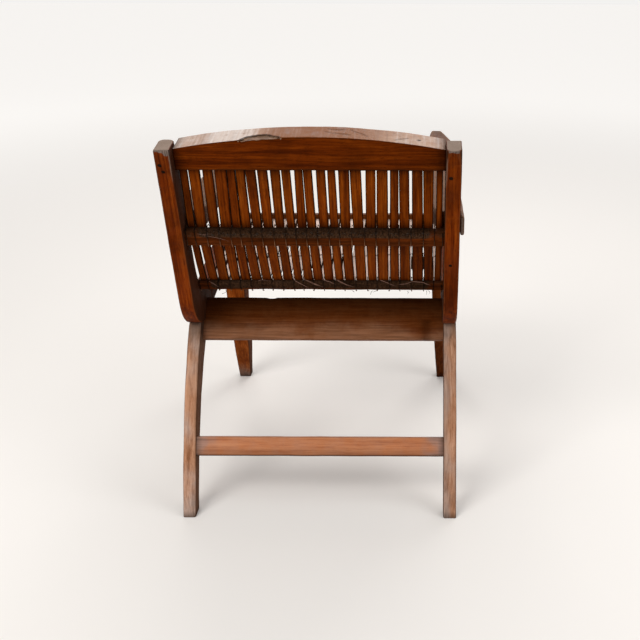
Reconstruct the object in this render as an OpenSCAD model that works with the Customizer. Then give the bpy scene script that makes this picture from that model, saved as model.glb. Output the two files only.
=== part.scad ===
// Plantation chair: a low fixed easy chair. Long thin slats run from the crest rail down the back
// and forward along the seat, laced with cord to cross bars between two sawn side frames.
// Units are millimetres. X is across the chair, +Y points to its front, +Z is up.
// The origin is on the floor, midway across the chair and midway between the rear feet's rear
// edges and the tips of the long arms. Side outlines are lists of [y, z] points, in millimetres
// ahead of the rear feet's rear edges and above the floor.

/* [Overall] */
// Width over the outer faces of the two side frames
frame_w = 588; // [540:1:640]
// Length from the rear feet to the tips of the arms
overall_depth = 961; // [900:1:1040]

/* [Back posts and seat rails] */
// Thickness of the back posts and seat rails, across the chair
post_t = 31; // [26:0.5:40]
// Depth of the back posts and seat rails, seen from the side
post_d = 55; // [45:0.5:65]
// Backward lean of the posts, in degrees
lean = 10; // [6:0.5:16]
// Height of the rear top corner of each post
post_top_z = 777; // [740:1:820]
// Distance of the posts' rear edges ahead of the rear feet's rear edges, level with the arms' tops
post_arm_y = 113; // [90:1:135]
// Radius of the post's rounded heel
heel_r = 98; // [70:1:120]
// Radius of the inner corner between post and seat
crook_r = 105; // [80:1:130]
// Upward slope of the seat rails towards the front, in degrees
rail_slope = 9.4; // [5:0.1:14]
// Height of the underside of the heel
heel_z = 360; // [330:1:400]
// Where the heel ends and the seat rail begins
heel_end_y = 305; // [290:1:330]

/* [Legs] */
// Thickness of the legs, across the chair
leg_t = 28; // [22:0.5:34]
// Width of the legs, seen from the side
leg_d = 60; // [48:0.5:70]
// Depth of the rear legs at the foot
rear_foot_d = 32; // [26:1:48]
// Depth of the front legs at the foot
front_foot_d = 30; // [26:1:48]
// Thickness of the front legs below the seat rails
front_leg_t = 48; // [36:1:52]
// Thickness of the front legs at the foot
front_foot_t = 31; // [28:1:36]
// Distance from the rear feet's rear edges to the front feet's rear edges
foot_spread = 662; // [600:1:720]

/* [Crest rail] */
// Distance of the crest rail's lower edge below the rear top corner of each post
crest_drop = 47; // [40:1:70]
// Distance of the crest rail's rear face ahead of the posts' rear faces
crest_inset = 24; // [18:0.5:30]
// Height of the crest rail at its ends
crest_end_h = 45; // [35:1:60]
// Rise of its arched top at the middle
crest_rise = 25; // [10:1:35]
// Thickness of the crest rail
crest_t = 56; // [44:1:64]

/* [Cross members] */
// Width of the board below the seat, at the back
apron_h = 96; // [80:1:110]
// Thickness of that board
apron_t = 18; // [14:0.5:22]
// Height of the stretcher between the rear legs
stretcher_h = 41.5; // [32:0.5:48]
// Thickness of the stretcher
stretcher_t = 19; // [14:0.5:24]
// Height of the front seat rail
front_rail_h = 46; // [36:1:56]
// Thickness of the front seat rail
front_rail_t = 24; // [18:0.5:30]
// Height of the upper back bar
upper_bar_h = 36.5; // [28:0.5:44]
// Thickness of the upper back bar
upper_bar_t = 17; // [12:0.5:20]
// Height of the lower back bar
lower_bar_h = 23; // [17:0.5:28]
// Thickness of the lower back bar
lower_bar_t = 12; // [10:0.5:18]
// Width of the seat bar
seat_bar_h = 24; // [18:0.5:30]
// Thickness of the seat bar
seat_bar_t = 24; // [18:0.5:30]

/* [Slats] */
// Thickness of the slats
slat_t = 5.5; // [4:0.1:7]
// Length of each slat that is let into the crest rail
slat_in = 14; // [8:0.5:20]
// Radius of the lacing cord
cord_r = 0.7; // [0.5:0.05:1]
// Clearance of the cord from the wood
cord_fit = 0.3; // [0.25:0.05:0.5]

/* [Arms] */
// Height of the top of the arms
arm_top_z = 636; // [600:1:660]
// Thickness of the arms
arm_h = 40; // [30:0.5:46]
// Width of the arms
arm_w = 65; // [55:0.5:80]
// Distance by which the right arm stands outside its post; the left one lies flush with its own
arm_proud = 9; // [6:0.5:15]
// Distance of the arms' rear ends ahead of the rear feet's rear edges
arm_rear_y = 130; // [122:1:140]
// Width of each arm at its front tip
arm_tip_w = 30; // [24:1:50]
// Rounding of the arms' long edges
arm_round = 7; // [3:0.5:12]

/* [Joints of the frame] */
// Thickness of the tenons
tenon_t = 12; // [8:0.5:14]
// Depth of the tenons of the cross members
tenon_l = 14; // [10:0.5:18]
// Depth of the tenons of the rails and legs
frame_tenon_l = 30; // [20:1:36]
// Side clearance of a tenon in its mortise
tenon_fit = 0.1; // [0.05:0.05:0.3]
// Radius of the wooden pegs
peg_r = 3; // [2:0.1:4]
// Clearance of a peg in its hole
peg_fit = 0.05; // [0.02:0.01:0.1]

/* [Hidden] */
$fn = 32;
e = 0.01;
half_w = frame_w / 2;
post_in = half_w - post_t;
leg_in = half_w - leg_t;
// slope of the seat rail and of a post's edge
sr = tan(rail_slope);
sl = tan(lean);
// rear top corner of a post
post_top_y = post_arm_y - (post_top_z - arm_top_z) * sl;
// where the post's rear edge is at a height, and where its front edge is
function post_rear(z) = post_top_y + (post_top_z - z) * sl;
function post_front(z) = post_rear(z) + post_d / cos(lean);
// lower edge of the crest rail at its rear face
crest_low_z = post_top_z - crest_drop;
crest_y = post_rear(crest_low_z) + crest_inset;
// seat rail's lower and upper edges at a distance from the rear
rail_low0 = heel_z - 245 * sr;
function rail_low(y) = rail_low0 + y * sr;
function rail_top(y) = rail_low(y) + post_d / cos(rail_slope);

// points on an arc, from angle a to angle b
function arc(c, r, a, b, n) = [for (i = [0:n]) let (t = a + (b - a) * i / n) c + r * [cos(t), sin(t)]];
// corner where the post's edge (offset d) meets the rail's edge (offset h), and its fillet centre
function corner(d, h) =
    let (k = post_top_y + post_top_z * sl + d / cos(lean),
         m = rail_low0 + h / cos(rail_slope),
         y = (k - m * sl) / (1 + sr * sl))
    [y, m + y * sr];
up_post = [-sin(lean), cos(lean)];
along_rail = [cos(rail_slope), sin(rail_slope)];
function fillet_c(p, r) =
    let (half = (90 + lean - rail_slope) / 2, u = (up_post + along_rail) / norm(up_post + along_rail))
    p + u * r / sin(half);
heel_c = fillet_c(corner(0, 0), heel_r);
crook_c = fillet_c(corner(post_d, post_d), crook_r);

// smooth curve through a list of points, n steps between each two
function pt(p, i) = p[max(0, min(len(p) - 1, i))];
function mix(a, b, c, d, t) =
    0.5 * (2 * b + (c - a) * t + (2 * a - 5 * b + 4 * c - d) * t * t + (3 * b - a - 3 * c + d) * t * t * t);
function smooth(p, n) = concat(
    [for (i = [0:len(p) - 2]) for (k = [0:n - 1]) mix(pt(p, i - 1), p[i], p[i + 1], pt(p, i + 2), k / n)],
    [p[len(p) - 1]]);
// the same curve moved sideways by d, to the right of its direction
function dir(p, i) = let (v = pt(p, i + 1) - pt(p, i - 1)) v / norm(v);
function side(p, d) = [for (i = [0:len(p) - 1]) let (v = dir(p, i)) p[i] + d * [v[1], -v[0]]];
function back(p) = [for (i = [len(p) - 1:-1:0]) p[i]];
function band(p, a, b) = concat(side(p, a), back(side(p, b)));
// outline between a curve and a second one that lies the depths d to its right
function tapered(p, d) =
    concat(p, back([for (i = [0:len(p) - 1]) let (v = dir(p, i)) p[i] + d[i] * [v[1], -v[0]]]));

// solid of a side outline (a polygon in y and z) between two places across the chair
module across(x0, x1, outline) {
    translate([x0, 0, 0]) rotate([90, 0, 90]) linear_extrude(height = x1 - x0) polygon(outline);
}
// both side frames come from one drawing: right as drawn, left mirrored
module place(right) {
    translate([0, -overall_depth / 2, 0]) if (right) children(); else mirror([1, 0, 0]) children();
}
module centred() { translate([0, -overall_depth / 2, 0]) children(); }
// board standing on a side-view point: u runs up the board, v runs out behind it
module board_at(p, tilt) { translate([0, p[0], p[1]]) rotate([tilt, 0, 0]) children(); }

// side outline of post and heel
post_top_f = [post_top_y + post_d * cos(lean), post_top_z + post_d * sin(lean)];
post_outline = concat(
    [[post_top_y, post_top_z]],
    arc(heel_c, heel_r, 180 + lean, 270 + rail_slope, 20),
    [[heel_end_y, rail_low(heel_end_y)], [heel_end_y, rail_top(heel_end_y)]],
    arc(crook_c, crook_r, 270 + rail_slope, 180 + lean, 20),
    [post_top_f]);

// rear and front legs: their rear edges
rear_leg_edge = smooth([[-21, -50], [0, 0], [39, 94], [94, heel_z - 150], [160, heel_z - 50],
    [222, heel_z + 25]], 8);
front_leg_edge = smooth([[foot_spread + 17, -50], [foot_spread, 0], [foot_spread - 37, 110],
    [foot_spread - 72, 250], [foot_spread - 80, 400], [foot_spread - 64, arm_top_z - 136],
    [foot_spread - 40, arm_top_z - 26]], 8);
// their depth at each point of these edges, less towards the feet
rear_leg_depth = [for (p = rear_leg_edge) rear_foot_d + (leg_d - rear_foot_d) * lookup(p[1] / heel_z,
    [[0, 0], [0.33, 0.04], [0.46, 0.14], [0.58, 0.29], [0.71, 0.4], [0.83, 0.52], [0.93, 0.72], [1.07, 1]])];
front_leg_depth = [for (p = front_leg_edge) front_foot_d + (leg_d - front_foot_d) * lookup(p[1],
    [[0, 0], [30, 0.3], [65, 0.75], [100, 1]])];
rear_leg_outline = tapered(rear_leg_edge, rear_leg_depth);
front_leg_outline = tapered(front_leg_edge, front_leg_depth);
// front view of the front leg: thicker below the seat rail, with a shoulder there
shoulder_z = rail_low(foot_spread - 80) - 4;
front_leg_inner = smooth([[half_w - front_foot_t, 0], [half_w - front_foot_t - 0.53 * (front_leg_t - front_foot_t), 130],
    [half_w - front_leg_t, 290], [half_w - front_leg_t, shoulder_z - 55], [leg_in, shoulder_z]], 5);

// slats: rear and lower face of a slat, from the crest rail to the front seat rail
slat_top_z = crest_low_z + slat_in;
slat_end_y = foot_spread - 20;
crest_behind = 6.7;
function slat_at_crest(z) = [crest_y + (crest_low_z - z) * sl + crest_behind, z];
slat_line = smooth([slat_at_crest(slat_top_z), slat_at_crest(crest_low_z - 20), [149, heel_z + 248],
    [172, heel_z + 185], [203, heel_z + 117], [226, heel_z + 87], [256, heel_z + 71], [300, heel_z + 67],
    [430, heel_z + 80], [slat_end_y, heel_z + 106]], 5);
slat_band = band(slat_line, 0, -slat_t);
slat_space = band(slat_line, 0, -slat_t - 80);

// bars: a point on the slats' rear face, the bar's lean there, its height and its thickness
upper_bar = [[152.9, heel_z + 230], 15.5, upper_bar_h, upper_bar_t];
lower_bar = [[215, heel_z + 100.3], 31, lower_bar_h, lower_bar_t];
seat_bar = [[430, heel_z + 80], 96, seat_bar_h, seat_bar_t];

// seams between the slats, from left to right: at the crest rail, then at the lower back bar
seam_scale = post_in / 261;
seam_top = [-257, -240, -214, -190, -164, -148, -129, -107, -83, -60, -37, -17, 5, 29, 49, 74, 101,
    126, 151, 170, 193, 217, 241, 257];
seam_low = [-258, -240, -218, -193, -171, -148, -125, -103, -80, -57, -37, -15, 7, 30, 51, 75, 100,
    121, 147, 169, 194, 220, 241, 258];
// widths of the gaps at the crest rail, at the upper bar and at the lower bar
gap_top = [2, 2, 5, 4, 0.4, 0.4, 0.4, 3, 5, 2, 8, 0.4, 8, 4, 6, 0.4, 9, 2, 4, 0.4, 5, 0.4, 6, 1];
gap_mid = [2, 3, 5, 2, 0.4, 0.4, 4, 3, 5, 6, 4, 2, 6, 2, 4, 6, 4, 2, 3, 2, 5, 1, 6, 1];
gap_low = [2, 5, 3, 5, 3, 2, 2, 4, 3, 3, 4, 2, 3, 4, 3, 4, 4, 3, 3.6, 2, 3.4, 2, 4, 2];
slat_n = len(seam_top) - 1;
gap_scale = 0.95;

function seam_at(i, z) = seam_scale * (seam_low[i]
    + (seam_top[i] - seam_low[i]) * max(0, z - lower_bar[0][1]) / (crest_low_z - lower_bar[0][1]));
function gap_at(i, z) = gap_scale * (z > upper_bar[0][1]
    ? gap_mid[i] + (gap_top[i] - gap_mid[i]) * (z - upper_bar[0][1]) / (crest_low_z - upper_bar[0][1])
    : gap_low[i] + (gap_mid[i] - gap_low[i]) * max(0, z - lower_bar[0][1]) / (upper_bar[0][1] - lower_bar[0][1]));
slat_levels = [0, lower_bar[0][1], (lower_bar[0][1] + upper_bar[0][1]) / 2, upper_bar[0][1],
    (upper_bar[0][1] + crest_low_z) / 2, crest_low_z, crest_low_z + 40];
function slat_front(i) = concat(
    [for (z = slat_levels) [seam_at(i, z) + gap_at(i, z) / 2, z]],
    back([for (z = slat_levels) [seam_at(i + 1, z) - gap_at(i + 1, z) / 2, z]]));

// where the cord passes a bar: just above and just below it, in the bar's own frame
pass_w = 2 * (cord_r + cord_fit);
function bar_z(b) = b[0][1];

module cord_passes(i, b) {
    x = seam_at(i, bar_z(b));
    board_at(b[0], b[1]) for (s = [-1, 1])
        translate([x - pass_w / 2, -slat_t - 6, s * (b[2] / 2 + cord_r + cord_fit) - pass_w / 2])
            cube([pass_w, slat_t + 12, pass_w]);
}

module slat(i) {
    color([0.39, 0.18, 0.04]) centred() difference() {
        intersection() {
            across(-half_w, half_w, slat_band);
            translate([0, 900, 0]) rotate([90, 0, 0]) linear_extrude(height = 900) polygon(slat_front(i));
        }
        for (k = [i, i + 1]) for (b = [upper_bar, lower_bar, seat_bar]) cord_passes(k, b);
    }
}

// a bar lies against the rear of the slats; its ends are let into the side frames
module bar_blank(b, x0, x1, h, v0, v1) {
    board_at(b[0], b[1]) translate([x0, -v1, -h / 2]) cube([x1 - x0, v1 - v0, h]);
}
module bar_tenons(b, fit) {
    for (s = [0, 1]) mirror([s, 0, 0])
        bar_blank(b, post_in - e, post_in + tenon_l + fit * 5, b[2] - 6 + 2 * fit, b[3] / 2 - fit, b[3] - 2 + fit);
}
module bar(b) {
    difference() {
        bar_blank(b, -post_in, post_in, b[2], -4, b[3]);
        across(-post_in - 1, post_in + 1, slat_space);
    }
    bar_tenons(b, 0);
}
module upper_back_bar() { color([0.16, 0.11, 0.08]) centred() bar(upper_bar); }
module lower_back_bar() { color([0.22, 0.13, 0.08]) centred() bar(lower_bar); }
module seat_bar() { color([0.25, 0.14, 0.08]) centred() bar(seat_bar); }

// cord wound round a bar and the slats, once for each slat: it passes forward through the seam above
// the bar, runs across the slat's face and comes back through the next seam below the bar
cord_sides = 6;
function lace_turn(b, i) =
    let (x0 = seam_at(i, bar_z(b)), x1 = seam_at(i + 1, bar_z(b)), c = cord_r + cord_fit, k = 2.2,
         zt = b[2] / 2 + c, zb = -b[2] / 2 - c, yr = -b[3] - c, yf = slat_t + c + 0.35)
    [[x0, yr, zb + k], [x0, yr, zt - k], [x0, yr + k, zt], [x0, yf - k, zt], [x0 + 0.8, yf, zt - k],
     [x1 - 0.8, yf, zb + k], [x1, yf - k, zb], [x1, yr + k, zb]];
function lace_path(b) = concat(
    [for (i = [0:slat_n - 1]) for (p = lace_turn(b, i)) p],
    [[seam_at(slat_n, bar_z(b)), -b[3] - cord_r - cord_fit, -b[2] / 2 + 1.6],
     [seam_at(slat_n, bar_z(b)), -b[3] - cord_r - cord_fit, b[2] / 2 - 3]]);
module tube(path, r) {
    n = len(path);
    rings = [for (i = [0:n - 1])
        let (d = path[min(n - 1, i + 1)] - path[max(0, i - 1)], t = d / norm(d),
             a0 = cross(t, [1, 0, 0]), a = a0 / norm(a0), b = cross(t, a))
        for (k = [0:cord_sides - 1]) path[i] + r * (cos(360 * k / cord_sides) * a + sin(360 * k / cord_sides) * b)];
    s = cord_sides;
    faces = concat(
        [[for (k = [0:s - 1]) k]],
        [for (i = [0:n - 2]) for (k = [0:s - 1]) let (m = (k + 1) % s)
            [i * s + k, (i + 1) * s + k, (i + 1) * s + m, i * s + m]],
        [[for (k = [s - 1:-1:0]) (n - 1) * s + k]]);
    polyhedron(points = rings, faces = faces, convexity = 10);
}
// least gap between two turns, measured on points about 1.5 mm apart
function dotted(p) = [for (i = [0:len(p) - 2]) let (n = ceil(norm(p[i + 1] - p[i]) / 1.5)) for (k = [0:n - 1])
    p[i] + (p[i + 1] - p[i]) * k / n];
function turn_gap(q) = min([for (i = [0:len(q) - 10]) for (j = [i + 9:min(len(q) - 1, i + 110)])
    norm(q[j] - q[i])]) - 2 * cord_r;
module lacing(b) {
    path = lace_path(b);
    echo(least_gap_of_the_lacing_to_itself = turn_gap(dotted(path)));
    color([0.62, 0.50, 0.34]) centred() board_at(b[0], b[1]) tube(path, cord_r);
}

// crest rail: arched board, grooved below for the slats and tenoned into the posts
crest_h_mid = crest_end_h + crest_rise;
crest_chord_r = (post_in * post_in + crest_rise * crest_rise) / (2 * crest_rise);
crest_half_a = asin(post_in / crest_chord_r);
function crest_front() = concat(
    [[-post_in, 0], [post_in, 0]],
    [for (i = [0:36]) let (t = crest_half_a * (1 - i / 18))
        [crest_chord_r * sin(t), crest_end_h + crest_rise - crest_chord_r * (1 - cos(t))]]);
crest_tenon_in = 11;
crest_tenon_low = 3;
crest_tenon_cover = 4;
crest_tenon_l = post_t - crest_tenon_cover;
module crest_tenons(fit) {
    for (s = [0, 1]) mirror([s, 0, 0])
        translate([post_in - e, crest_tenon_in - fit, crest_tenon_low - fit])
            cube([crest_tenon_l + fit * 5, tenon_t + 2 * fit, crest_end_h - crest_tenon_low - 7 + 2 * fit]);
}
module at_crest() { translate([0, crest_y, crest_low_z]) rotate([lean, 0, 0]) children(); }
module crest_rail() {
    color([0.33, 0.14, 0.05]) centred() difference() {
        union() {
            at_crest() {
                translate([0, crest_t, 0]) rotate([90, 0, 0]) linear_extrude(height = crest_t) polygon(crest_front());
                crest_tenons(0);
            }
        }
        across(-post_in + 2, post_in - 2, slat_band);
        post_peg_holes(false);
        post_peg_holes(true);
    }
}

// pegs driven in from the rear of the posts: the distance of each from the post's outer face, its
// height and its depth. The left ones hold the crest rail's tenon
crest_peg_l = crest_inset + crest_tenon_in + tenon_t + 1;
left_pegs = [[9, post_top_z - 31, crest_peg_l], [14, post_top_z - 44, crest_peg_l]];
right_pegs = [[21, post_top_z - 55, 20], [18, upper_bar[0][1] - 59, 20]];
module peg_row(pegs, r, l0) {
    for (p = pegs) translate([half_w - p[0], post_rear(p[1]), p[1]])
        rotate([lean - 90, 0, 0]) translate([0, 0, -l0]) cylinder(r = r, h = p[2] + 2 * l0);
}
module post_peg_set(right, r, l0) {
    if (right) peg_row(right_pegs, r, l0); else mirror([1, 0, 0]) peg_row(left_pegs, r, l0);
}
module post_peg_holes(right) { post_peg_set(right, peg_r + peg_fit, 0.4); }
module post_pegs() {
    color([0.12, 0.06, 0.03]) centred() {
        post_peg_set(false, peg_r, -0.6);
        post_peg_set(true, peg_r, -0.6);
    }
}

// pegs through the seat rails' tenons, from the outer faces
seat_peg_at = [[heel_end_y - 14, rail_top(heel_end_y - 14) - 27],
    [foot_spread - 58, rail_top(foot_spread - 58) - 27]];
module seat_peg_set(r, l0) {
    for (s = [0, 1]) mirror([s, 0, 0]) for (p = seat_peg_at)
        translate([half_w - 25 - l0, p[0], p[1]]) rotate([0, 90, 0]) cylinder(r = r, h = 25 + 2 * l0);
}
module seat_peg_holes() { seat_peg_set(peg_r + peg_fit, 0.3); }
module seat_frame_pegs() { color([0.12, 0.06, 0.03]) centred() seat_peg_set(peg_r, -0.3); }

// board below the seat, between the rear legs and the heels of the posts
apron_low = [205, heel_z - 30];
apron_tilt = -38.7;
module apron_blank(x, fit) {
    translate([0, apron_low[0], apron_low[1]]) rotate([apron_tilt, 0, 0])
        translate([-x, 0, 0]) cube([2 * x, apron_t, apron_h]);
}
module apron_tenons(fit) {
    translate([0, apron_low[0], apron_low[1]]) rotate([apron_tilt, 0, 0])
        for (s = [0, 1]) mirror([s, 0, 0]) {
            translate([leg_in - e, 4 - fit, 8 - fit]) cube([tenon_l - 2 + fit * 5, 9 + 2 * fit, 18 + 2 * fit]);
            translate([post_in - e, 4 - fit, 62 - fit]) cube([tenon_l + fit * 5, 9 + 2 * fit, 26 + 2 * fit]);
        }
}
module apron_board() {
    color([0.42, 0.22, 0.10]) centred() {
        difference() {
            apron_blank(leg_in, 0);
            for (s = [0, 1]) mirror([s, 0, 0]) across(post_in, half_w, post_outline);
        }
        apron_tenons(0);
    }
}

// stretcher between the rear legs
stretcher_low = [54, 121.8];
stretcher_tilt = -26;
module at_stretcher() { translate([0, stretcher_low[0], stretcher_low[1]]) rotate([stretcher_tilt, 0, 0]) children(); }
module stretcher_tenons(fit) {
    at_stretcher() for (s = [0, 1]) mirror([s, 0, 0])
        translate([leg_in - e, 4 - fit, 5 - fit])
            cube([tenon_l + fit * 5, stretcher_t - 8 + 2 * fit, stretcher_h - 10 + 2 * fit]);
}
module rear_stretcher() {
    color([0.45, 0.18, 0.08]) centred() {
        at_stretcher() translate([-leg_in, 0, 0]) cube([2 * leg_in, stretcher_t, stretcher_h]);
        stretcher_tenons(0);
    }
}

// front seat rail, between the front legs, with a step that the slats' front ends rest in
front_rail_y = foot_spread - 32;
front_rail_top = heel_z + 124;
module front_rail_tenons(fit) {
    for (s = [0, 1]) mirror([s, 0, 0])
        translate([leg_in - e, front_rail_y + 6 - fit, front_rail_top - front_rail_h + 8 - fit])
            cube([tenon_l + fit * 5, tenon_t + 2 * fit, front_rail_h - 16 + 2 * fit]);
}
module front_seat_rail() {
    color([0.36, 0.16, 0.06]) centred() difference() {
        union() {
            translate([-leg_in, front_rail_y, front_rail_top - front_rail_h])
                cube([2 * leg_in, front_rail_t, front_rail_h]);
            front_rail_tenons(0);
        }
        across(-leg_in - 1, leg_in + 1, slat_space);
    }
}

// back post with its heel: the side frame's rear part
module post_body() { across(post_in, half_w, post_outline); }
module rail_tenon(fit) {
    across(post_in + (post_t - tenon_t) / 2 - fit, post_in + (post_t + tenon_t) / 2 + fit, [
        [heel_end_y - frame_tenon_l - fit * 5, rail_low(heel_end_y - frame_tenon_l) + 14 - fit],
        [heel_end_y + e, rail_low(heel_end_y) + 14 - fit],
        [heel_end_y + e, rail_top(heel_end_y) - 14 + fit],
        [heel_end_y - frame_tenon_l - fit * 5, rail_top(heel_end_y - frame_tenon_l) - 14 + fit]]);
}
// tenon that stands up from the rear leg into the heel
rear_tenon_y = [222, 258];
module rear_leg_tenon(fit) {
    x = half_w - leg_t / 2;
    translate([x - tenon_t / 2 - fit, rear_tenon_y[0] - fit, heel_z - 20])
        cube([tenon_t + 2 * fit, rear_tenon_y[1] - rear_tenon_y[0] + 2 * fit, 42 + fit * 5]);
}
module back_post(right) {
    difference() {
        post_body();
        rail_tenon(tenon_fit);
        rear_leg_tenon(tenon_fit);
        at_crest() crest_tenons(tenon_fit);
        peg_row(right ? right_pegs : left_pegs, peg_r + peg_fit, 0.4);
        seat_peg_holes();
        arm_end_tenon(tenon_fit);
        bar_tenons(upper_bar, tenon_fit);
        bar_tenons(lower_bar, tenon_fit);
        apron_tenons(tenon_fit);
    }
}
module back_post_left() { color([0.36, 0.14, 0.04]) place(false) back_post(false); }
module back_post_right() { color([0.36, 0.14, 0.04]) place(true) back_post(true); }

// rear leg
module rear_leg() {
    difference() {
        union() {
            difference() {
                across(leg_in, half_w, rear_leg_outline);
                across(leg_in - 1, half_w + 1, concat(
                    arc(heel_c, heel_r, 180 + lean, 270 + rail_slope, 20),
                    [[heel_end_y + 40, rail_low(heel_end_y + 40)], [heel_end_y + 40, 600], [100, 600]]));
                translate([0, -60, -100]) cube([half_w + 1, 400, 100]);
            }
            rear_leg_tenon(0);
        }
        stretcher_tenons(tenon_fit);
        apron_tenons(tenon_fit);
    }
}
module rear_leg_left() { color([0.47, 0.29, 0.19]) place(false) rear_leg(); }
module rear_leg_right() { color([0.47, 0.29, 0.19]) place(true) rear_leg(); }

// seat side rail, from the heel to the front leg
module front_leg_body() {
    intersection() {
        across(half_w - front_leg_t, half_w, front_leg_outline);
        translate([0, 900, 0]) rotate([90, 0, 0]) linear_extrude(height = 500)
            polygon(concat(front_leg_inner, [[leg_in, arm_top_z - arm_h], [half_w, arm_top_z - arm_h],
                [half_w, 0]]));
    }
}
module front_rail_joint(fit) {
    rail_y = foot_spread - 92;
    tip_y = foot_spread - 79 + frame_tenon_l;
    across(half_w - leg_t / 2 - tenon_t / 2 - fit, half_w - leg_t / 2 + tenon_t / 2 + fit, [
        [rail_y, rail_low(rail_y) + 14 - fit], [tip_y + fit * 5, rail_low(tip_y) + 14 - fit],
        [tip_y + fit * 5, rail_top(tip_y) - 14 + fit], [rail_y, rail_top(rail_y) - 14 + fit]]);
}
module seat_rail() {
    difference() {
        union() {
            difference() {
                across(post_in, half_w, [
                    [heel_end_y, rail_low(heel_end_y)], [foot_spread - 22, rail_low(foot_spread - 22)],
                    [foot_spread - 22, rail_top(foot_spread - 22)], [heel_end_y, rail_top(heel_end_y)]]);
                across(post_in - 1, half_w + 1, concat([[foot_spread + 58, 300]], [for (p = front_leg_edge)
                    if (p[1] > 300 && p[1] < 600) p], [[foot_spread + 58, 600]]));
            }
            rail_tenon(0);
            front_rail_joint(0);
        }
        seat_peg_holes();
        bar_tenons(seat_bar, tenon_fit);
    }
}
module seat_rail_left() { color([0.36, 0.14, 0.04]) place(false) seat_rail(); }
module seat_rail_right() { color([0.36, 0.14, 0.04]) place(true) seat_rail(); }

// front leg: a slow curve up past the seat rail to the arm, which it carries on a tenon
arm_tenon_y = [foot_spread - 30, foot_spread + 6];
module arm_tenon(fit) {
    translate([half_w - leg_t / 2 - tenon_t / 2 - fit, arm_tenon_y[0] - fit, arm_top_z - arm_h - e])
        cube([tenon_t + 2 * fit, arm_tenon_y[1] - arm_tenon_y[0] + 2 * fit, 22 + fit * 5]);
}
module front_leg() {
    difference() {
        union() { front_leg_body(); arm_tenon(0); }
        front_rail_joint(tenon_fit);
        front_rail_tenons(tenon_fit);
        seat_peg_holes();
    }
}
module front_leg_left() { color([0.44, 0.22, 0.08]) place(false) front_leg(); }
module front_leg_right() { color([0.37, 0.17, 0.05]) place(true) front_leg(); }

// arm: a long board with rounded edges. Its rear end butts against the post's front face, with a
// tenon let into the post; the right one is wider outwards and runs on beside the post
arm_inner_start = post_front(arm_top_z) - 0.7;
arm_clip_y = 848;
module arm_plan(out) {
    inner = out - arm_w;
    beside = out > half_w + 1 ? [[half_w + 0.001, arm_inner_start], [half_w + 0.001, arm_rear_y],
        [out, arm_rear_y]] : [[out, arm_inner_start]];
    polygon(concat(beside, [[out, arm_clip_y - 70], [out - 6, arm_clip_y], [out - 28, overall_depth],
        [out - 28 - arm_tip_w, overall_depth], [inner, overall_depth - 60],
        [inner, arm_inner_start + 30], [inner + 12, arm_inner_start]]));
}
// end view of the arm, with its edges rounded
module arm_section(out) {
    r = arm_round;
    translate([out - arm_w, 0, arm_top_z - arm_h]) rotate([90, 0, 0]) translate([0, 0, -1100])
        linear_extrude(height = 1100) polygon(concat(
            arc([r, r], r, 180, 270, 6), arc([arm_w - r, r], r, 270, 360, 6),
            arc([arm_w - r, arm_h - r], r, 0, 90, 6), arc([r, arm_h - r], r, 90, 180, 6)));
}
arm_end_h = 20;
module arm_end_tenon(fit) {
    mid = arm_top_z - arm_h / 2;
    translate([half_w - (post_t + tenon_t) / 2 - fit, post_front(mid) - tenon_l - fit * 5, mid - arm_end_h / 2 - fit])
        cube([tenon_t + 2 * fit, tenon_l + 6 + fit * 5, arm_end_h + 2 * fit]);
}
module arm(out) {
    difference() {
        intersection() {
            arm_section(out);
            translate([0, 0, arm_top_z - arm_h]) linear_extrude(height = arm_h) arm_plan(out);
        }
        arm_tenon(tenon_fit);
        post_body();
    }
    arm_end_tenon(0);
}
module arm_left() { color([0.48, 0.27, 0.16]) place(false) arm(half_w); }
module arm_right() { color([0.48, 0.27, 0.16]) place(true) arm(half_w + arm_proud); }

slat(0);  // slat_01
slat(1);  // slat_02
slat(2);  // slat_03
slat(3);  // slat_04
slat(4);  // slat_05
slat(5);  // slat_06
slat(6);  // slat_07
slat(7);  // slat_08
slat(8);  // slat_09
slat(9);  // slat_10
slat(10);  // slat_11
slat(11);  // slat_12
slat(12);  // slat_13
slat(13);  // slat_14
slat(14);  // slat_15
slat(15);  // slat_16
slat(16);  // slat_17
slat(17);  // slat_18
slat(18);  // slat_19
slat(19);  // slat_20
slat(20);  // slat_21
slat(21);  // slat_22
slat(22);  // slat_23
back_post_left();
back_post_right();
seat_rail_left();
seat_rail_right();
rear_leg_left();
rear_leg_right();
front_leg_left();
front_leg_right();
arm_left();
arm_right();
crest_rail();
apron_board();
rear_stretcher();
front_seat_rail();
upper_back_bar();
lower_back_bar();
seat_bar();
lacing(upper_bar);  // upper_lacing
lacing(lower_bar);  // lower_lacing
lacing(seat_bar);  // seat_lacing
post_pegs();
seat_frame_pegs();
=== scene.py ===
import bpy, bmesh, math, random
import numpy as np
from mathutils import Vector, Matrix, noise


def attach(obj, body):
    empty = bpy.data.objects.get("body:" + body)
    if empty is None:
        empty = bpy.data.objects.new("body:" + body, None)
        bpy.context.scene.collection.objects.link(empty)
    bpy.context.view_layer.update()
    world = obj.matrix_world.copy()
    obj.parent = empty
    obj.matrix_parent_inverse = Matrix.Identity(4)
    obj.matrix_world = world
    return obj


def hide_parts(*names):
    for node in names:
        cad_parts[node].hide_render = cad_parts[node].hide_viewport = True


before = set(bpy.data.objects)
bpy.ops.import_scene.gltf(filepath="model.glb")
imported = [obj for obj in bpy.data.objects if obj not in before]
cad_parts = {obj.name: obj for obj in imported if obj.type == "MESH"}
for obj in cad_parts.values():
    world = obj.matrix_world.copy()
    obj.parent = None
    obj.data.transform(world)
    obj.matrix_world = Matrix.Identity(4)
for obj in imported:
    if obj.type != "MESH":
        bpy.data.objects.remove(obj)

bpy.context.scene.view_settings.view_transform = "Standard"
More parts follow.
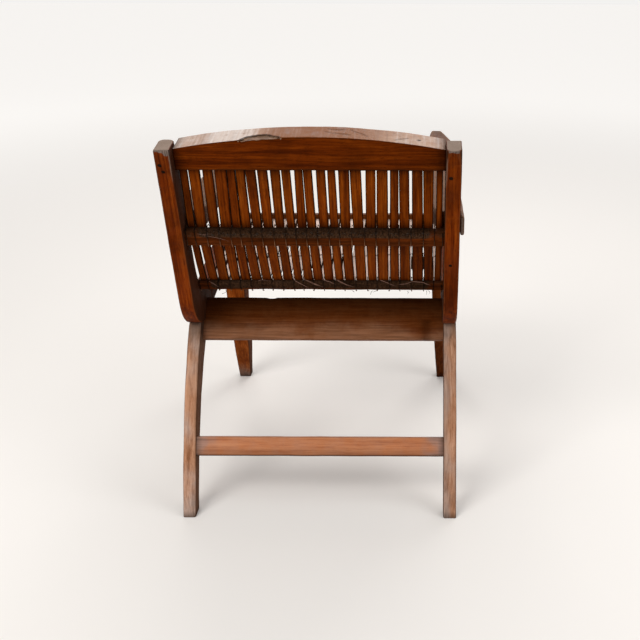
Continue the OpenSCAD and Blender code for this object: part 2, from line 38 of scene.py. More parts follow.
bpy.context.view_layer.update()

# ---------------------------------------------------------------- sizes (mm, chair coordinates)
D2 = 961 / 2            # the row's origin is this far ahead of the rear feet's rear edges
HALF, POST_T, LEG_T = 294, 31, 28
POST_IN, LEG_IN = HALF - POST_T, HALF - LEG_T
LEAN, SLOPE = math.radians(10), math.radians(9.4)
POST_D, LEG_D = 55, 60
SR, SL = math.tan(SLOPE), math.tan(LEAN)
ARM_TOP, ARM_H, ARM_W, TOP_Z = 636, 40, 65, 777
TOP_Y = 113 - (TOP_Z - ARM_TOP) * SL
RAIL0 = 360 - 245 * SR
SIDES = ((-1, "left"), (1, "right"))


def side_of(v): return -1 if v[0] < 0 else 1


def P(x, y, z):
    """a point in metres in the row's frame"""
    return Vector((x / 1000, (y - D2) / 1000, z / 1000))


def rail_low(y): return RAIL0 + y * SR
def rail_top(y): return rail_low(y) + POST_D / math.cos(SLOPE)
def post_rear(z): return TOP_Y + (TOP_Z - z) * SL
def post_front(z): return post_rear(z) + POST_D / math.cos(LEAN)


def curve(x, xs, ys):
    """the height at x of the broken line through xs and ys"""
    return float(np.interp(x, xs, ys))


def polar(r, a):
    return r * np.array([math.cos(a), math.sin(a)])


def smooth(p, n):
    """a soft line through points, in n steps from each to the next"""
    p = [np.array(q, float) for q in p]
    out = []
    for i in range(len(p) - 1):
        a, b, c, d = (p[max(0, min(len(p) - 1, i + k))] for k in (-1, 0, 1, 2))
        for t in np.arange(n) / n:
            out.append(0.5 * (2 * b + (c - a) * t + (2 * a - 5 * b + 4 * c - d) * t * t
                              + (3 * b - a - 3 * c + d) * t ** 3))
    out.append(p[-1])
    return np.array(out)


def tapered(p, shares, low, full, height=1.0):
    """the other edge of a leg, at a depth that grows from low to full by shares of the height"""
    zs, ks = zip(*shares)
    q = []
    for i in range(len(p)):
        v = p[min(len(p) - 1, i + 1)] - p[max(0, i - 1)]
        v = v / np.linalg.norm(v)
        q.append(p[i] + (low + (full - low) * np.interp(p[i][1] / height, zs, ks)) * np.array([v[1], -v[0]]))
    return np.array(q)


def corner(d, h):
    """where the post's edge at depth d meets the seat rail's at height h"""
    k = TOP_Y + TOP_Z * SL + d / math.cos(LEAN)
    m = RAIL0 + h / math.cos(SLOPE)
    y = (k - m * SL) / (1 + SR * SL)
    return np.array([y, m + y * SR])


UP = np.array([-math.sin(LEAN), math.cos(LEAN)])
ALONG = np.array([math.cos(SLOPE), math.sin(SLOPE)])


def fillet(p, r):
    """the centre of a round of radius r in the corner p"""
    half = (math.pi / 2 + LEAN - SLOPE) / 2
    u = (UP + ALONG) / np.linalg.norm(UP + ALONG)
    return p + u * r / math.sin(half)


HEEL_R, CROOK_R, HEEL_END = 98, 105, 305
HEEL_C = fillet(corner(0, 0), HEEL_R)
CROOK_C = fillet(corner(POST_D, POST_D), CROOK_R)

CREST_Z, UP_Z, LOW_Z = 730, 590, 460.3
CREST_Y = post_rear(CREST_Z) + 24
SLAT_LINE = [[CREST_Y - 14 * SL + 6.7, 744], [CREST_Y + 20 * SL + 6.7, 710], [149, 608], [172, 545], [203, 477],
             [226, 447], [256, 431], [300, 427], [430, 440], [642, 466]]
SEAM_TOP = [-257, -240, -214, -190, -164, -148, -129, -107, -83, -60, -37, -17, 5, 29, 49, 74, 101,
            126, 151, 170, 193, 217, 241, 257]
SEAM_LOW = [-258, -240, -218, -193, -171, -148, -125, -103, -80, -57, -37, -15, 7, 30, 51, 75, 100,
            121, 147, 169, 194, 220, 241, 258]
GAP_TOP = [2, 2, 5, 4, 0.4, 0.4, 0.4, 3, 5, 2, 8, 0.4, 8, 4, 6, 0.4, 9, 2, 4, 0.4, 5, 0.4, 6, 1]
GAP_MID = [2, 3, 5, 2, 0.4, 0.4, 4, 3, 5, 6, 4, 2, 6, 2, 4, 6, 4, 2, 3, 2, 5, 1, 6, 1]
GAP_LOW = [2, 5, 3, 5, 3, 2, 2, 4, 3, 3, 4, 2, 3, 4, 3, 4, 4, 3, 3.6, 2, 3.4, 2, 4, 2]
GAP_SCALE, SEAM_SCALE = 0.95, POST_IN / 261
# bars: point on the slats' rear face, lean in degrees, height, thickness
UPPER = ((152.9, 590), 15.5, 36.5, 17)
LOWER = ((215, 460.3), 31, 23, 12)
SEATB = ((430, 440), 96, 24, 24)
SLAT_T, SLATS = 5.5, len(SEAM_TOP) - 1
SEAT_Y, SEAT_Z = 256, 430       # where the slats turn into the seat, and the seat's height


def seam_at(i, z):
    return SEAM_SCALE * (SEAM_LOW[i] + (SEAM_TOP[i] - SEAM_LOW[i]) * max(0, z - LOW_Z) / (CREST_Z - LOW_Z))


def gap_at(i, z):
    if z > UP_Z:
        g = GAP_MID[i] + (GAP_TOP[i] - GAP_MID[i]) * (z - UP_Z) / (CREST_Z - UP_Z)
    else:
        g = GAP_LOW[i] + (GAP_MID[i] - GAP_LOW[i]) * max(0, z - LOW_Z) / (UP_Z - LOW_Z)
    return GAP_SCALE * g


# ---------------------------------------------------------------- helpers
def rnd(v, f, seed=0.0):
    """smooth noise of a point in metres, f per metre, between about -1 and 1"""
    return noise.noise(Vector(v) * f + Vector((seed, seed * 1.7, seed * 0.3)))


def unit(v):
    return v / (np.linalg.norm(v) + 1e-9)


def dress(ob, mat, attrs, replaces, angle):
    """a piece's attributes, material, shading, body and CAD node"""
    me = ob.data
    n = len(me.vertices)
    for key, vals in {"wear": np.zeros(n), "endg": np.zeros(n), "tone": np.ones(n), **attrs}.items():
        kind, field = ("FLOAT_VECTOR", "vector") if np.ndim(vals) == 2 else ("FLOAT", "value")
        me.attributes.new(key, kind, "POINT").data.foreach_set(field, np.asarray(vals, np.float32).ravel())
    me.materials.append(mat)
    me.polygons.foreach_set("use_smooth", [True] * len(me.polygons))
    me.set_sharp_from_angle(angle=math.radians(angle))
    bpy.context.scene.collection.objects.link(ob)
    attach(ob, "root")
    if replaces:
        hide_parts(replaces)
    return ob


def new_object(name, verts, faces, mat, attrs, replaces, angle):
    me = bpy.data.meshes.new(name)
    me.from_pydata([P(*v) for v in verts], [], faces)
    me.validate()
    bm = bmesh.new(); bm.from_mesh(me)
    bmesh.ops.recalc_face_normals(bm, faces=bm.faces)
    bm.to_mesh(me); bm.free()
    return dress(bpy.data.objects.new(name, me), mat, attrs, replaces, angle)


CORNER_STEPS = 3


def ring(hw, hb, radii, na, nb):
    """rounded rectangle: half width hw (axis a), half thickness hb (axis b), corner radii
    (++, -+, --, +-); returns a, b and how near each point is to a corner"""
    corners = []
    for q, (sa, sb) in enumerate(((1, 1), (-1, 1), (-1, -1), (1, -1))):
        r = min(radii[q], hw * 0.95, hb * 0.95)
        turns = [math.radians(90 * q + 90 * k / CORNER_STEPS) for k in range(CORNER_STEPS + 1)]
        corners.append([(sa * (hw - r) + r * math.cos(t), sb * (hb - r) + r * math.sin(t)) for t in turns])
    pts = []
    for q in range(4):
        pts += [(a, b, 1.0) for a, b in corners[q]]
        (a0, b0), (a1, b1) = corners[q][-1], corners[(q + 1) % 4][0]
        n = nb if q % 2 else na
        for k in range(1, n):
            f = k / n
            pts.append((a0 + (a1 - a0) * f, b0 + (b1 - b0) * f, 0.35 * max(0.0, 1 - min(f, 1 - f) * n / 1.5)))
    return pts


def sweep(cad, stations, mat, slot, r=2.0, na=4, nb=3, wob=0.4, seed=0, grain=None, post=None, end_r=1.5, rfun=None,
          **fields):
    """board in place of a CAD node, through stations (centre, half-width vector, half-thickness vector) in mm;
    grain: None follows the board, or a function of a point giving (along, across, through);
    rfun changes a corner radius, post moves a point, and fields are functions for point attributes"""
    st = [[np.array(q, float) for q in s] for s in stations]

    def inside(i, j, d):
        f = min(0.45, d / max(np.linalg.norm(st[j][0] - st[i][0]), 1e-6))
        return [p + (q - p) * f for p, q in zip(st[i], st[j])]
    # rounded ends: two more rings just inside each end
    near = end_r * 0.3
    rings = [(*st[0], end_r), (*inside(0, 1, near), near), (*inside(0, 1, end_r), 0.0)] \
        + [(*s, 0.0) for s in st[1:-1]] \
        + [(*inside(-1, -2, end_r), 0.0), (*inside(-1, -2, near), near), (*st[-1], end_r)]
    verts, grains, wears, ends = [], [], [], []
    s, prev = 0.0, st[0][0]
    for k, (c, a, b, inset) in enumerate(rings):
        s += float(np.linalg.norm(c - prev))
        prev = c
        hw, hb = np.linalg.norm(a), np.linalg.norm(b)
        ea, eb = a / hw, b / hb
        radii = []
        for q in range(4):
            base = r[q] if isinstance(r, list) else r
            if rfun:
                base = rfun(q, s, base)
            radii.append(max(0.4, base * (1 + 0.9 * rnd((s / 1000, q * 3.1, seed), 14, seed))))
        for pa, pb, w in ring(max(hw - inset, 0.5), max(hb - inset, 0.5), radii, na, nb):
            p = c + ea * pa + eb * pb
            out = unit(ea * (pa / hw) + eb * (pb / hb))
            p = p + out * wob * (rnd(p / 1000, 18, seed) * 0.7 + rnd(p / 1000, 55, seed + 5) * 0.35 - 0.45)
            verts.append(p)
            grains.append(grain(p) if grain else (s, pa, pb))
            wears.append(w)
            ends.append(max(0.0, 1 - 0.5 * min(k, len(rings) - 1 - k)))
    if post:
        verts = [post(v) for v in verts]
    M = len(verts) // len(rings)
    around = [(j, (j + 1) % M) for j in range(M)]
    faces = [(k + j, k + j2, k + M + j2, k + M + j) for k in range(0, len(verts) - M, M) for j, j2 in around]
    # caps: a smaller ring, then one face, so that end grain has its own points
    for k, turn in ((0, -1), (len(verts) - M, 1)):
        base, start = verts[k:k + M], len(verts)
        mid = sum(base) / M
        verts += [mid + (v - mid) * 0.6 for v in base]
        grains += grains[k:k + M]
        wears += [0.0] * M
        ends += [1.0] * M
        faces += [(k + j, k + j2, start + j2, start + j)[::turn] for j, j2 in around]
        faces.append(tuple(range(start, start + M))[::turn])
    at = {"grain": np.array(grains, float) / 1000 + seed * np.array([0.73, 0.31, 0.17]), "wear": wears, "endg": ends}
    at.update((key, [fn(v) for v in verts]) for key, fn in fields.items())
    return new_object(cad + "_wood", verts, faces, mat, at, cad, 40)


def resample(p, n):
    p = np.asarray(p, float)
    d = np.r_[0, np.cumsum(np.linalg.norm(np.diff(p, axis=0), axis=1))]
    t = np.linspace(0, d[-1], n)
    return np.stack([np.interp(t, d, p[:, i]) for i in range(p.shape[1])], 1)


def ruled(rear, front, x0, x1, sx):
    """stations of a board whose side view runs between two edges; sx mirrors it to the left"""
    st = []
    for a, b in zip(rear, front):
        c, h = (a + b) / 2, (b - a) / 2
        xi = x0(c[1]) if callable(x0) else x0
        st.append(((sx * (xi + x1) / 2, *c), (0, *h), ((x1 - xi) / 2, 0, 0)))
    return st


def tube(path, r, seed, sides=8, taper=False, steps=1):
    """round cord through points in mm: its points, faces and grain"""
    p = smooth(path, steps) if steps > 1 else np.array(path, float)
    n = len(p)
    verts, grains, s = [], [], 0.0
    a = unit(np.cross(unit(p[1] - p[0]), (0.31, 0.11, 0.94)))
    for i in range(n):
        t = unit(p[min(n - 1, i + 1)] - p[max(0, i - 1)])
        a = unit(a - t * np.dot(a, t))
        b = np.cross(t, a)
        s += float(np.linalg.norm(p[i] - p[max(0, i - 1)]))
        rr = r * (1 + 0.12 * rnd((s / 1000, seed, 0), 220, seed))
        if taper:
            rr *= max(0.25, min(1, (n - 1 - i) / 4, (i + 1) / 3))
        for k in range(sides):
            th = 2 * math.pi * k / sides
            verts.append(p[i] + (math.cos(th) * a + math.sin(th) * b) * rr * (1 + 0.16 * math.cos(2 * th + s * 2.4)))
            grains.append((s, th * r, 0))
    faces = [(i + k, i + (k + 1) % sides, i + sides + (k + 1) % sides, i + sides + k)
             for i in range(0, (n - 1) * sides, sides) for k in range(sides)]
    faces += [tuple(range(sides))[::-1], tuple(range((n - 1) * sides, n * sides))]
    return verts, faces, np.array(grains, float) / 1000 + seed * 0.13


def tube_object(name, paths, r, mat, slot, replaces=None, tone=None, **kw):
    V, F, G = [], [], []
    for i, path in enumerate(paths):
        v, f, g = tube(path, r[i] if isinstance(r, list) else r, i * 1.37, **kw)
        F += [tuple(x + len(V) for x in q) for q in f]
        V += v
        G.append(g)
    at = {"grain": np.concatenate(G)}
    if tone:
        at["tone"] = [tone(v) for v in V]
    return new_object(name, V, F, mat, at, replaces, 70)


# ---------------------------------------------------------------- materials
class Value:
    """one output of a node; + - * add Math nodes"""
    def __init__(self, tree, socket):
        self.tree, self.socket = tree, socket

    def __add__(self, other):
        return self.tree.math("ADD", self, other)

    def __sub__(self, other):
        return self.tree.math("SUBTRACT", self, other)

    def __mul__(self, other):
        return self.tree.math("MULTIPLY", self, other)


class Tree:
    """the node tree of a material or a world, with short ways to add to it"""
    def __init__(self, owner):
        owner.use_nodes = True
        self.nodes, self.links = owner.node_tree.nodes, owner.node_tree.links

    def put(self, value, socket):
        """link a Value to the socket, or set a constant on it"""
        if isinstance(value, Value):
            self.links.new(value.socket, socket)
        else:
            socket.default_value = (*value, 1) if socket.type == "RGBA" else value

    def value(self, kind, output=0, inputs=(), **props):
        """a new node's output; inputs are pairs of a socket and what goes into it"""
        n = self.nodes.new("ShaderNode" + kind)
        for key, v in props.items():
            setattr(n, key, v)
        for key, v in inputs:
            self.put(v, n.inputs[key])
        return Value(self, n.outputs[output])

    def attr(self, name, output="Fac"):
        return self.value("Attribute", output, attribute_name=name)

    def math(self, op, a, b=0.5, clamp=False):
        return self.value("Math", 0, ((0, a), (1, b)), operation=op, use_clamp=clamp)

    def mix(self, fac, a, b, mode="MIX"):
        return self.value("Mix", 2, ((0, fac), (6, a), (7, b)), data_type="RGBA", blend_type=mode)

    def span(self, v, a, b, c=0.0, d=1.0):
        """v from the range a to b to the range c to d, with soft ends"""
        return self.value("MapRange", 0, enumerate((v, a, b, c, d)), interpolation_type="SMOOTHSTEP")

    def ramp(self, v, *stops):
        n = self.nodes.new("ShaderNodeValToRGB")
        els = n.color_ramp.elements
        while len(els) < len(stops):
            els.new(0.5)
        for el, (pos, col) in zip(els, stops):
            el.position, el.color = pos, (*col, 1)
        self.put(v, n.inputs[0])
        return Value(self, n.outputs[0])

    def scaled(self, vec, stretch, off=(0, 0, 0)):
        return self.value("Mapping", 0, ((0, vec), ("Scale", stretch), ("Location", off)))

    def noise(self, vec, stretch, detail, rough=0.55, dist=0.0, off=(0, 0, 0), scale=1.0):
        return self.value("TexNoise", 0, (("Vector", self.scaled(vec, stretch, off)), ("Scale", scale),
                                          ("Detail", detail), ("Roughness", rough), ("Distortion", dist)))

    def bump(self, shader, height, strength, distance):
        self.put(self.value("Bump", 0, (("Strength", strength), ("Distance", distance), ("Height", height))),
                 shader.inputs["Normal"])


def shade(col, k):
    return tuple(k * c for c in col)


EVEN, CONTRAST = (1, 1, 1), 0.11


def wood(name, dark, mid, light, rough=(0.42, 0.62), dust=0.0, dust_col=(0.36, 0.27, 0.22), dust_up=0.0,
         wear_col=(0.42, 0.2, 0.09), wear=0.6, stain=0.5, bump=0.35, end_col=(0.2, 0.14, 0.11), fine=1.0,
         streak=1.0, flecks=0.5, spec=0.35, pores=0.5, tint=(0.75, 0.2, 0.03), top=None, band=None, sides=None,
         pale=None, grey=None):
    m = bpy.data.materials.new(name)
    t = Tree(m)
    t.nodes.clear()
    bs = t.nodes.new("ShaderNodeBsdfPrincipled")
    t.links.new(bs.outputs[0], t.nodes.new("ShaderNodeOutputMaterial").inputs[0])
    grain, end = t.attr("grain", "Vector"), t.attr("endg")
    obj, normal = t.value("TexCoord", "Object"), t.value("NewGeometry", "Normal")
    normal_x, normal_z = (t.value("SeparateXYZ", k, ((0, normal),)) for k in (0, 2))
    # warped grain coordinates: slow bends in the fibres
    bend = t.noise(grain, (5, 30, 30), 2) - 0.5
    bend = t.value("CombineXYZ", 0, ((1, bend), (2, bend)))
    g = t.value("VectorMath", 0, ((0, bend), (1, (0, 0.01, 0.01)), (2, grain)), operation="MULTIPLY_ADD")
    bands = t.noise(g, (3.0, 90, 90), 3, 0.6)
    fibre = t.noise(g, (28, 900 * fine, 900 * fine), 4, 0.65)
    mids = t.noise(g, (9, 250, 250), 3, 0.62, off=(2, 5, 1))
    fleck = t.noise(g, (48, 360, 360), 3, 0.6, off=(4, 2, 8))
    cloud = t.noise(obj, EVEN, 4, 0.6, 0.6, scale=9)
    small_cloud = t.noise(obj, EVEN, 4, 0.65, 0.4, (3, 1, 7), 38)
    drift = small_cloud - 0.5
    tone = bands * (0.4 * streak) + fibre * 0.22 + mids * 0.38 + (1 - streak) * 0.2
    col = t.ramp(tone, (0.5 - CONTRAST, dark), (0.5, mid), (0.5 + 1.2 * CONTRAST, light))
    col = t.mix(t.span(fleck, 0.57, 0.68) * flecks, col, shade(dark, 0.5))
    # darker clouds of old oil and handling
    col = t.mix(t.span(cloud, 0.42, 0.7) * stain, col, shade(dark, 0.45))
    col = t.mix(t.span(small_cloud, 0.55, 0.75) * (stain * 0.5), col, light)
    pore = t.span(t.noise(g, (70, 1700, 1700), 2, 0.5), 0.62, 0.72)
    col = t.mix(pore * pores, col, shade(dark, 0.35))
    # worn edges; on the slats the dark edge colour is painted shade along the gaps
    col = t.mix(t.span(t.attr("wear") + drift * 1.6, 0.55, 1.05) * wear, col, wear_col)
    if top:
        # the upper face, pale from wear and from a painted sheen: its colour changes along the board and breaks up in
        # spots
        worn = t.attr("worn") + drift * 0.7
        streaks = t.noise(obj, (150, 5, 5), 3, 0.65)
        spots = t.noise(obj, EVEN, 5, 0.7, 0.5, (2, 6, 3), 75)
        lilac = t.noise(obj, (38, 20, 20), 3, 0.6, off=(5, 1, 2))
        tcol = t.ramp(worn, (0.22, top[0]), (0.55, top[1]), (0.92, top[2]))
        for fac, c in ((t.span(streaks, 0.5, 0.68) * t.span(worn, 0.2, 1.0, 0.08, 0.6), (0.6, 0.55, 0.52)),
                       (t.span(streaks, 0.48, 0.36) * 0.35, (0.2, 0.12, 0.085)),
                       (t.span(spots, 0.56, 0.7) * 0.55, (0.2, 0.1, 0.055)),
                       (t.span(fibre, 0.52, 0.7) * 0.35, (0.28, 0.17, 0.11)),
                       (t.span(lilac, 0.56, 0.68) * 0.25, (0.22, 0.18, 0.18))):
            tcol = t.mix(fac, tcol, c)
        col = t.mix(t.span(t.span(normal_z, 0.3, 0.8) + (spots - 0.5) * 0.5, 0.4, 0.62), col, tcol)
    if band:
        # a band of dust and fluff along the board
        fluff = t.span(t.noise(obj, (420, 160, 160), 4, 0.7, 0.8), 0.38, 0.66)
        col = t.mix(t.span(t.attr("band") + drift * 0.7, 0.35, 0.65), col,
                    t.mix(fluff, shade(band, 0.35), shade(band, 1.7)))
    if pale:
        # pale places of the piece's own: rubbing and dust, a painted highlight along the posts' inner rear arris, and a
        # painted reflection on the seat part of the slats
        pale_wear_and_sheen = t.attr("pale")
        col = t.mix(t.span(pale_wear_and_sheen + drift * (pale_wear_and_sheen * 1.2), 0.15, 0.85), col,
                    t.mix(t.span(mids, 0.36, 0.6), shade(pale, 0.62), pale))
    if grey:
        # raw wood inside a flaw
        col = t.mix(t.span(t.attr("grey"), 0.35, 0.6), col,
                    t.mix(t.span(fibre, 0.4, 0.6), shade(grey, 0.35), shade(grey, 1.25)))
    if sides:
        # painted shade: faces that look sideways are darker
        painted_side_shade = t.span(t.math("ABSOLUTE", normal_x), 0.45, 0.8)
        col = t.mix(painted_side_shade * sides[0], col, sides[1])
    # end grain: grey, with rays
    rays = t.noise(obj, (420, 420, 420), 3, 0.7)
    is_end = t.span(end, 0.55, 0.95)
    col = t.mix(is_end, col, t.mix(rays, shade(end_col, 0.45), end_col))
    # dust, more on what faces up; on the rear legs and the arms the pale upward faces are also a painted sheen
    dusty = t.span(t.noise(obj, EVEN, 5, 0.68, 0.3, (9, 2, 4), 24), 0.35, 0.72)
    dusty = t.math("MULTIPLY", dusty, t.span(normal_z, 0.15, 0.85) * dust_up + dust, True)
    col = t.mix(1.0, t.mix(dusty, col, dust_col), t.attr("tone"), "MULTIPLY")
    matt = t.span(small_cloud * 0.6 + fibre * 0.4, 0.35, 0.68, *rough) + dusty * 0.25 + is_end * 0.2
    if sides:
        matt = matt + painted_side_shade * 0.35
    for key, v in (("Base Color", col), ("Roughness", t.math("MINIMUM", matt, 1.0)), ("Specular IOR Level", spec),
                   ("Specular Tint", tint)):
        t.put(v, bs.inputs[key])
    # relief: fibres, pores and small dents
    dent = t.noise(obj, EVEN, 3, 0.6, off=(5, 5, 1), scale=160)
    t.bump(bs, fibre * 0.45 + bands * 0.6 - pore * 0.5 + dent * 0.5 + rays * (end * 0.8), bump, 0.0006)
    return m


def fibre_mat(name, dark, light, sheen=0.0, scale=900):
    m = bpy.data.materials.new(name)
    t = Tree(m)
    bs = t.nodes["Principled BSDF"]
    wave = t.value("TexWave", 1, (("Vector", t.scaled(t.attr("grain", "Vector"), (scale, scale * 1.4, 1))),
                                  ("Scale", 1.0), ("Distortion", 1.2)), wave_type="BANDS", bands_direction="DIAGONAL")
    mottle = t.noise(t.value("TexCoord", "Object"), EVEN, 4, 0.6, scale=70)
    col = t.ramp(wave * 0.45 + mottle * 0.75, (0.3, dark), (0.8, light))
    for key, v in (("Base Color", t.mix(1.0, col, t.attr("tone"), "MULTIPLY")), ("Specular IOR Level", 0.06),
                   ("Roughness", 0.9), ("Sheen Weight", sheen)):
        t.put(v, bs.inputs[key])
    t.bump(bs, wave, 0.6, 0.0003)
    return m


# sides paints shade on the posts' sideways faces; pale marks the inner rear arris, worn and with a painted highlight
M_POST = wood("oiled_frame", (0.0468, 0.0063, 0.0004), (0.117, 0.0163, 0.0008), (0.221, 0.0425, 0.003), stain=0.6,
              dust=0.01, dust_up=0.2, wear=0.35, wear_col=(0.15, 0.045, 0.012), end_col=(0.3, 0.225, 0.18),
              bump=0.5, spec=0.09, pores=0.7, sides=(0.85, (0.02, 0.009, 0.005)), pale=(0.24, 0.16, 0.12),
              grey=(0.16, 0.12, 0.1))
# the dark edge colour and darker sideways faces are painted shade in the gaps between slats; pale is a painted
# reflection on the seat part's upper faces
M_SLAT = wood("slat_wood", (0.0653, 0.01, 0.0006), (0.1491, 0.0256, 0.0014), (0.2769, 0.0625, 0.004), stain=0.45,
              wear=0.9, wear_col=(0.016, 0.004, 0.001),
              fine=1.2, pores=0.6, spec=0.09, sides=(0.9, (0.016, 0.005, 0.0015)), pale=(0.72, 0.56, 0.49))
# top: the upper face's colours, pale from wear and from a painted sheen
M_CREST = wood("crest_wood", (0.0425, 0.0058, 0.0003), (0.0963, 0.0148, 0.0005), (0.165, 0.0317, 0.0018), stain=0.45,
               wear=0.5, wear_col=(0.022, 0.007, 0.002), streak=1.15, spec=0.1, pores=0.7,
               top=((0.2, 0.076, 0.03), (0.36, 0.215, 0.145), (0.55, 0.46, 0.41)), grey=(0.21, 0.125, 0.08))
# the pale base colour is dust with a painted sheen from above; sideways faces are painted darker
M_LEG = wood("leg_dust_and_sheen", (0.18, 0.07, 0.03), (0.35, 0.165, 0.088), (0.5, 0.28, 0.18), stain=0.1,
             dust=0.1, dust_up=0.4, dust_col=(0.5, 0.3, 0.2), wear=0.4, wear_col=(0.16, 0.075, 0.04),
             rough=(0.5, 0.75), tint=(0.8, 0.5, 0.35), pores=0.8, bump=0.6, sides=(0.95, (0.062, 0.02, 0.0065)),
             pale=(0.4, 0.285, 0.235), flecks=0.25)
# sides paints shade on the front legs' sideways faces
M_FLEG = wood("front_leg", (0.065, 0.011, 0.001), (0.13, 0.028, 0.003), (0.21, 0.058, 0.011), stain=0.3,
              wear=0.4, wear_col=(0.1, 0.03, 0.008), spec=0.1,
              sides=(0.8, (0.022, 0.006, 0.0015)), pale=(0.135, 0.09, 0.068), flecks=0.3)
# the arms' upper faces are paler: dust and a painted sheen
M_ARM = wood("arm_wood", (0.043, 0.011, 0.0026), (0.082, 0.025, 0.0066), (0.14, 0.053, 0.019), stain=0.4,
             dust=0.05, dust_up=0.7, dust_col=(0.155, 0.095, 0.055), wear=0.5, wear_col=(0.17, 0.075, 0.037), spec=0.2)
M_APRON = wood("apron_wood", (0.07, 0.013, 0.002), (0.13, 0.031, 0.006), (0.19, 0.057, 0.015), stain=0.15,
               dust=0.22, dust_up=0.15, dust_col=(0.2, 0.072, 0.024), wear=0.3, wear_col=(0.2, 0.09, 0.045),
               rough=(0.55, 0.75), spec=0.1, pores=0.6, bump=0.55, streak=0.7, pale=(0.26, 0.115, 0.06), flecks=0.25)
# the pale base colour holds a painted sheen from above over the wood's own colour
M_STR = wood("stretcher_wood", (0.28, 0.085, 0.034), (0.44, 0.16, 0.068), (0.53, 0.22, 0.1), stain=0.1,
             dust=0.05, dust_up=0.3, wear=0.3, wear_col=(0.22, 0.08, 0.035), tint=(1, 0.62, 0.42), rough=(0.34, 0.5),
             streak=0.6, pale=(0.34, 0.19, 0.145), pores=0.35, flecks=0.15)
M_RAIL = wood("front_rail_wood", (0.05, 0.011, 0.002), (0.1, 0.027, 0.006), (0.16, 0.05, 0.014), stain=0.4)
M_BAR = wood("bar_wood", (0.0297, 0.0069, 0.0012), (0.0702, 0.0144, 0.0022), (0.1283, 0.0276, 0.0045), stain=0.35,
             dust=0.02, dust_up=0.3, dust_col=(0.04, 0.026, 0.018), wear=0.2, wear_col=(0.09, 0.03, 0.01),
             rough=(0.65, 0.9), spec=0.08, band=(0.037, 0.018, 0.0092))
M_PEG = wood("peg_wood", (0.006, 0.003, 0.002), (0.012, 0.006, 0.004), (0.03, 0.012, 0.007),
             end_col=(0.012, 0.006, 0.004), rough=(0.7, 0.9), spec=0.1)
M_CORD = fibre_mat("old_cord", (0.1, 0.038, 0.016), (0.28, 0.135, 0.068))
M_STRAND = fibre_mat("loose_strand", (0.1, 0.048, 0.033), (0.24, 0.135, 0.1), scale=2000)
M_DARKSTRAND = fibre_mat("dark_strand", (0.012, 0.006, 0.004), (0.05, 0.022, 0.012), scale=2000)
M_FUZZ = fibre_mat("bar_fuzz", (0.012, 0.009, 0.006), (0.055, 0.04, 0.03), sheen=0.1, scale=2500)


# ---------------------------------------------------------------- camera (as the photograph's)
CAMERA_AT, YAW_PITCH_ROLL = (0.212, -1.581, 1.161), (-0.08, 23.7, -0.26)    # metres from the rear feet; degrees
PHOTO_PX, FOCAL_PX, SHIFT_PX, SENSOR = 640, 889, -100, 36


def camera():
    yaw, pitch, roll = (math.radians(a) for a in YAW_PITCH_ROLL)
    ahead, right = Vector((-math.sin(yaw), math.cos(yaw), 0)), Vector((math.cos(yaw), math.sin(yaw), 0))
    forward = math.cos(pitch) * ahead + Vector((0, 0, -math.sin(pitch)))
    up = math.sin(pitch) * ahead + Vector((0, 0, math.cos(pitch)))
    cam = bpy.data.cameras.new("camera")
    cam.sensor_width, cam.lens = SENSOR, FOCAL_PX / PHOTO_PX * SENSOR
    cam.shift_x, cam.clip_end = SHIFT_PX / PHOTO_PX, 100
    ob = bpy.data.objects.new("camera", cam)
    cr, sr = math.cos(roll), math.sin(roll)
    turn = Matrix((cr * right - sr * up, sr * right + cr * up, -forward)).transposed()
    ob.matrix_world = Matrix.Translation(Vector(CAMERA_AT) - Vector((0, D2 / 1000, 0))) @ turn.to_4x4()
    bpy.context.scene.collection.objects.link(ob)
    bpy.context.scene.camera = ob


camera()

# ---------------------------------------------------------------- frame
def edge(top, centre, r, low, start):
    """a post's edge from its top round the heel and along the seat rail's line low from y = start"""
    bend = centre + polar(r, math.pi + LEAN)
    return [top + (bend - top) * i / 40 for i in range(40)] \
        + [centre + polar(r, math.radians(a)) for a in 190 + 89.4 * np.arange(17) / 16] \
        + [np.array([y, low(y)]) for y in (start, HEEL_END)]


post_top = np.array([TOP_Y, TOP_Z])
rear = edge(post_top, HEEL_C, HEEL_R, rail_low, HEEL_END - 20)
front = edge(post_top + polar(POST_D, LEAN), CROOK_C, CROOK_R, rail_top, HEEL_END - 4)


def straight_grain(y, z):
    """grain that runs along a direction of the side view"""
    d = unit(np.array([0, y, z], float))
    n = np.array([0, -d[2], d[1]])
    return lambda p: (float(np.dot(p, d)), float(np.dot(p, n)), float(p[0]))


def top_worn(inner):
    """corner radii that grow near the top, at the two inner corners"""
    return lambda q, s, base: base * (1 + 3.2 * max(0, 1 - s / 22) + (1.2 if s < 60 else 0)) if q in inner else base


def pale_wear_and_sheen(v):
    """the inner rear arris near the top is pale: worn, with a painted highlight along it"""
    near = max(0, 1 - abs(abs(v[0]) - POST_IN - 1.2) / 3.5) * max(0, 1 - (v[1] - post_rear(v[2])) / 8)
    return near * curve(v[2], [690, 725, 770], [0, 0.7, 1.0])


def ragged(v):
    """grey end grain that breaks over the rear edge"""
    lim = curve(v[0], [-285, -271], [773.5, 767]) if v[0] < 0 else 773.5
    lim += 2.2 * rnd((v[0] / 1000, side_of(v), 0), 90, 3)
    return curve(v[2] - lim, [-2, 2.5], [0, 1]) if v[1] < post_rear(v[2]) + 3 else 0.0


# painted shade: darker where the post bends round the heel, lighter up the post, the left post lighter than the right
def post_shade(v):
    return curve(v[2], [350, 364, 385, 420, 610, 700],
                 [0.55, 0.85, 1.08, 1.22, 1.2, 1.03] if v[0] < 0 else [0.5, 0.8, 1.05, 1.16, 1.12, 0.96])


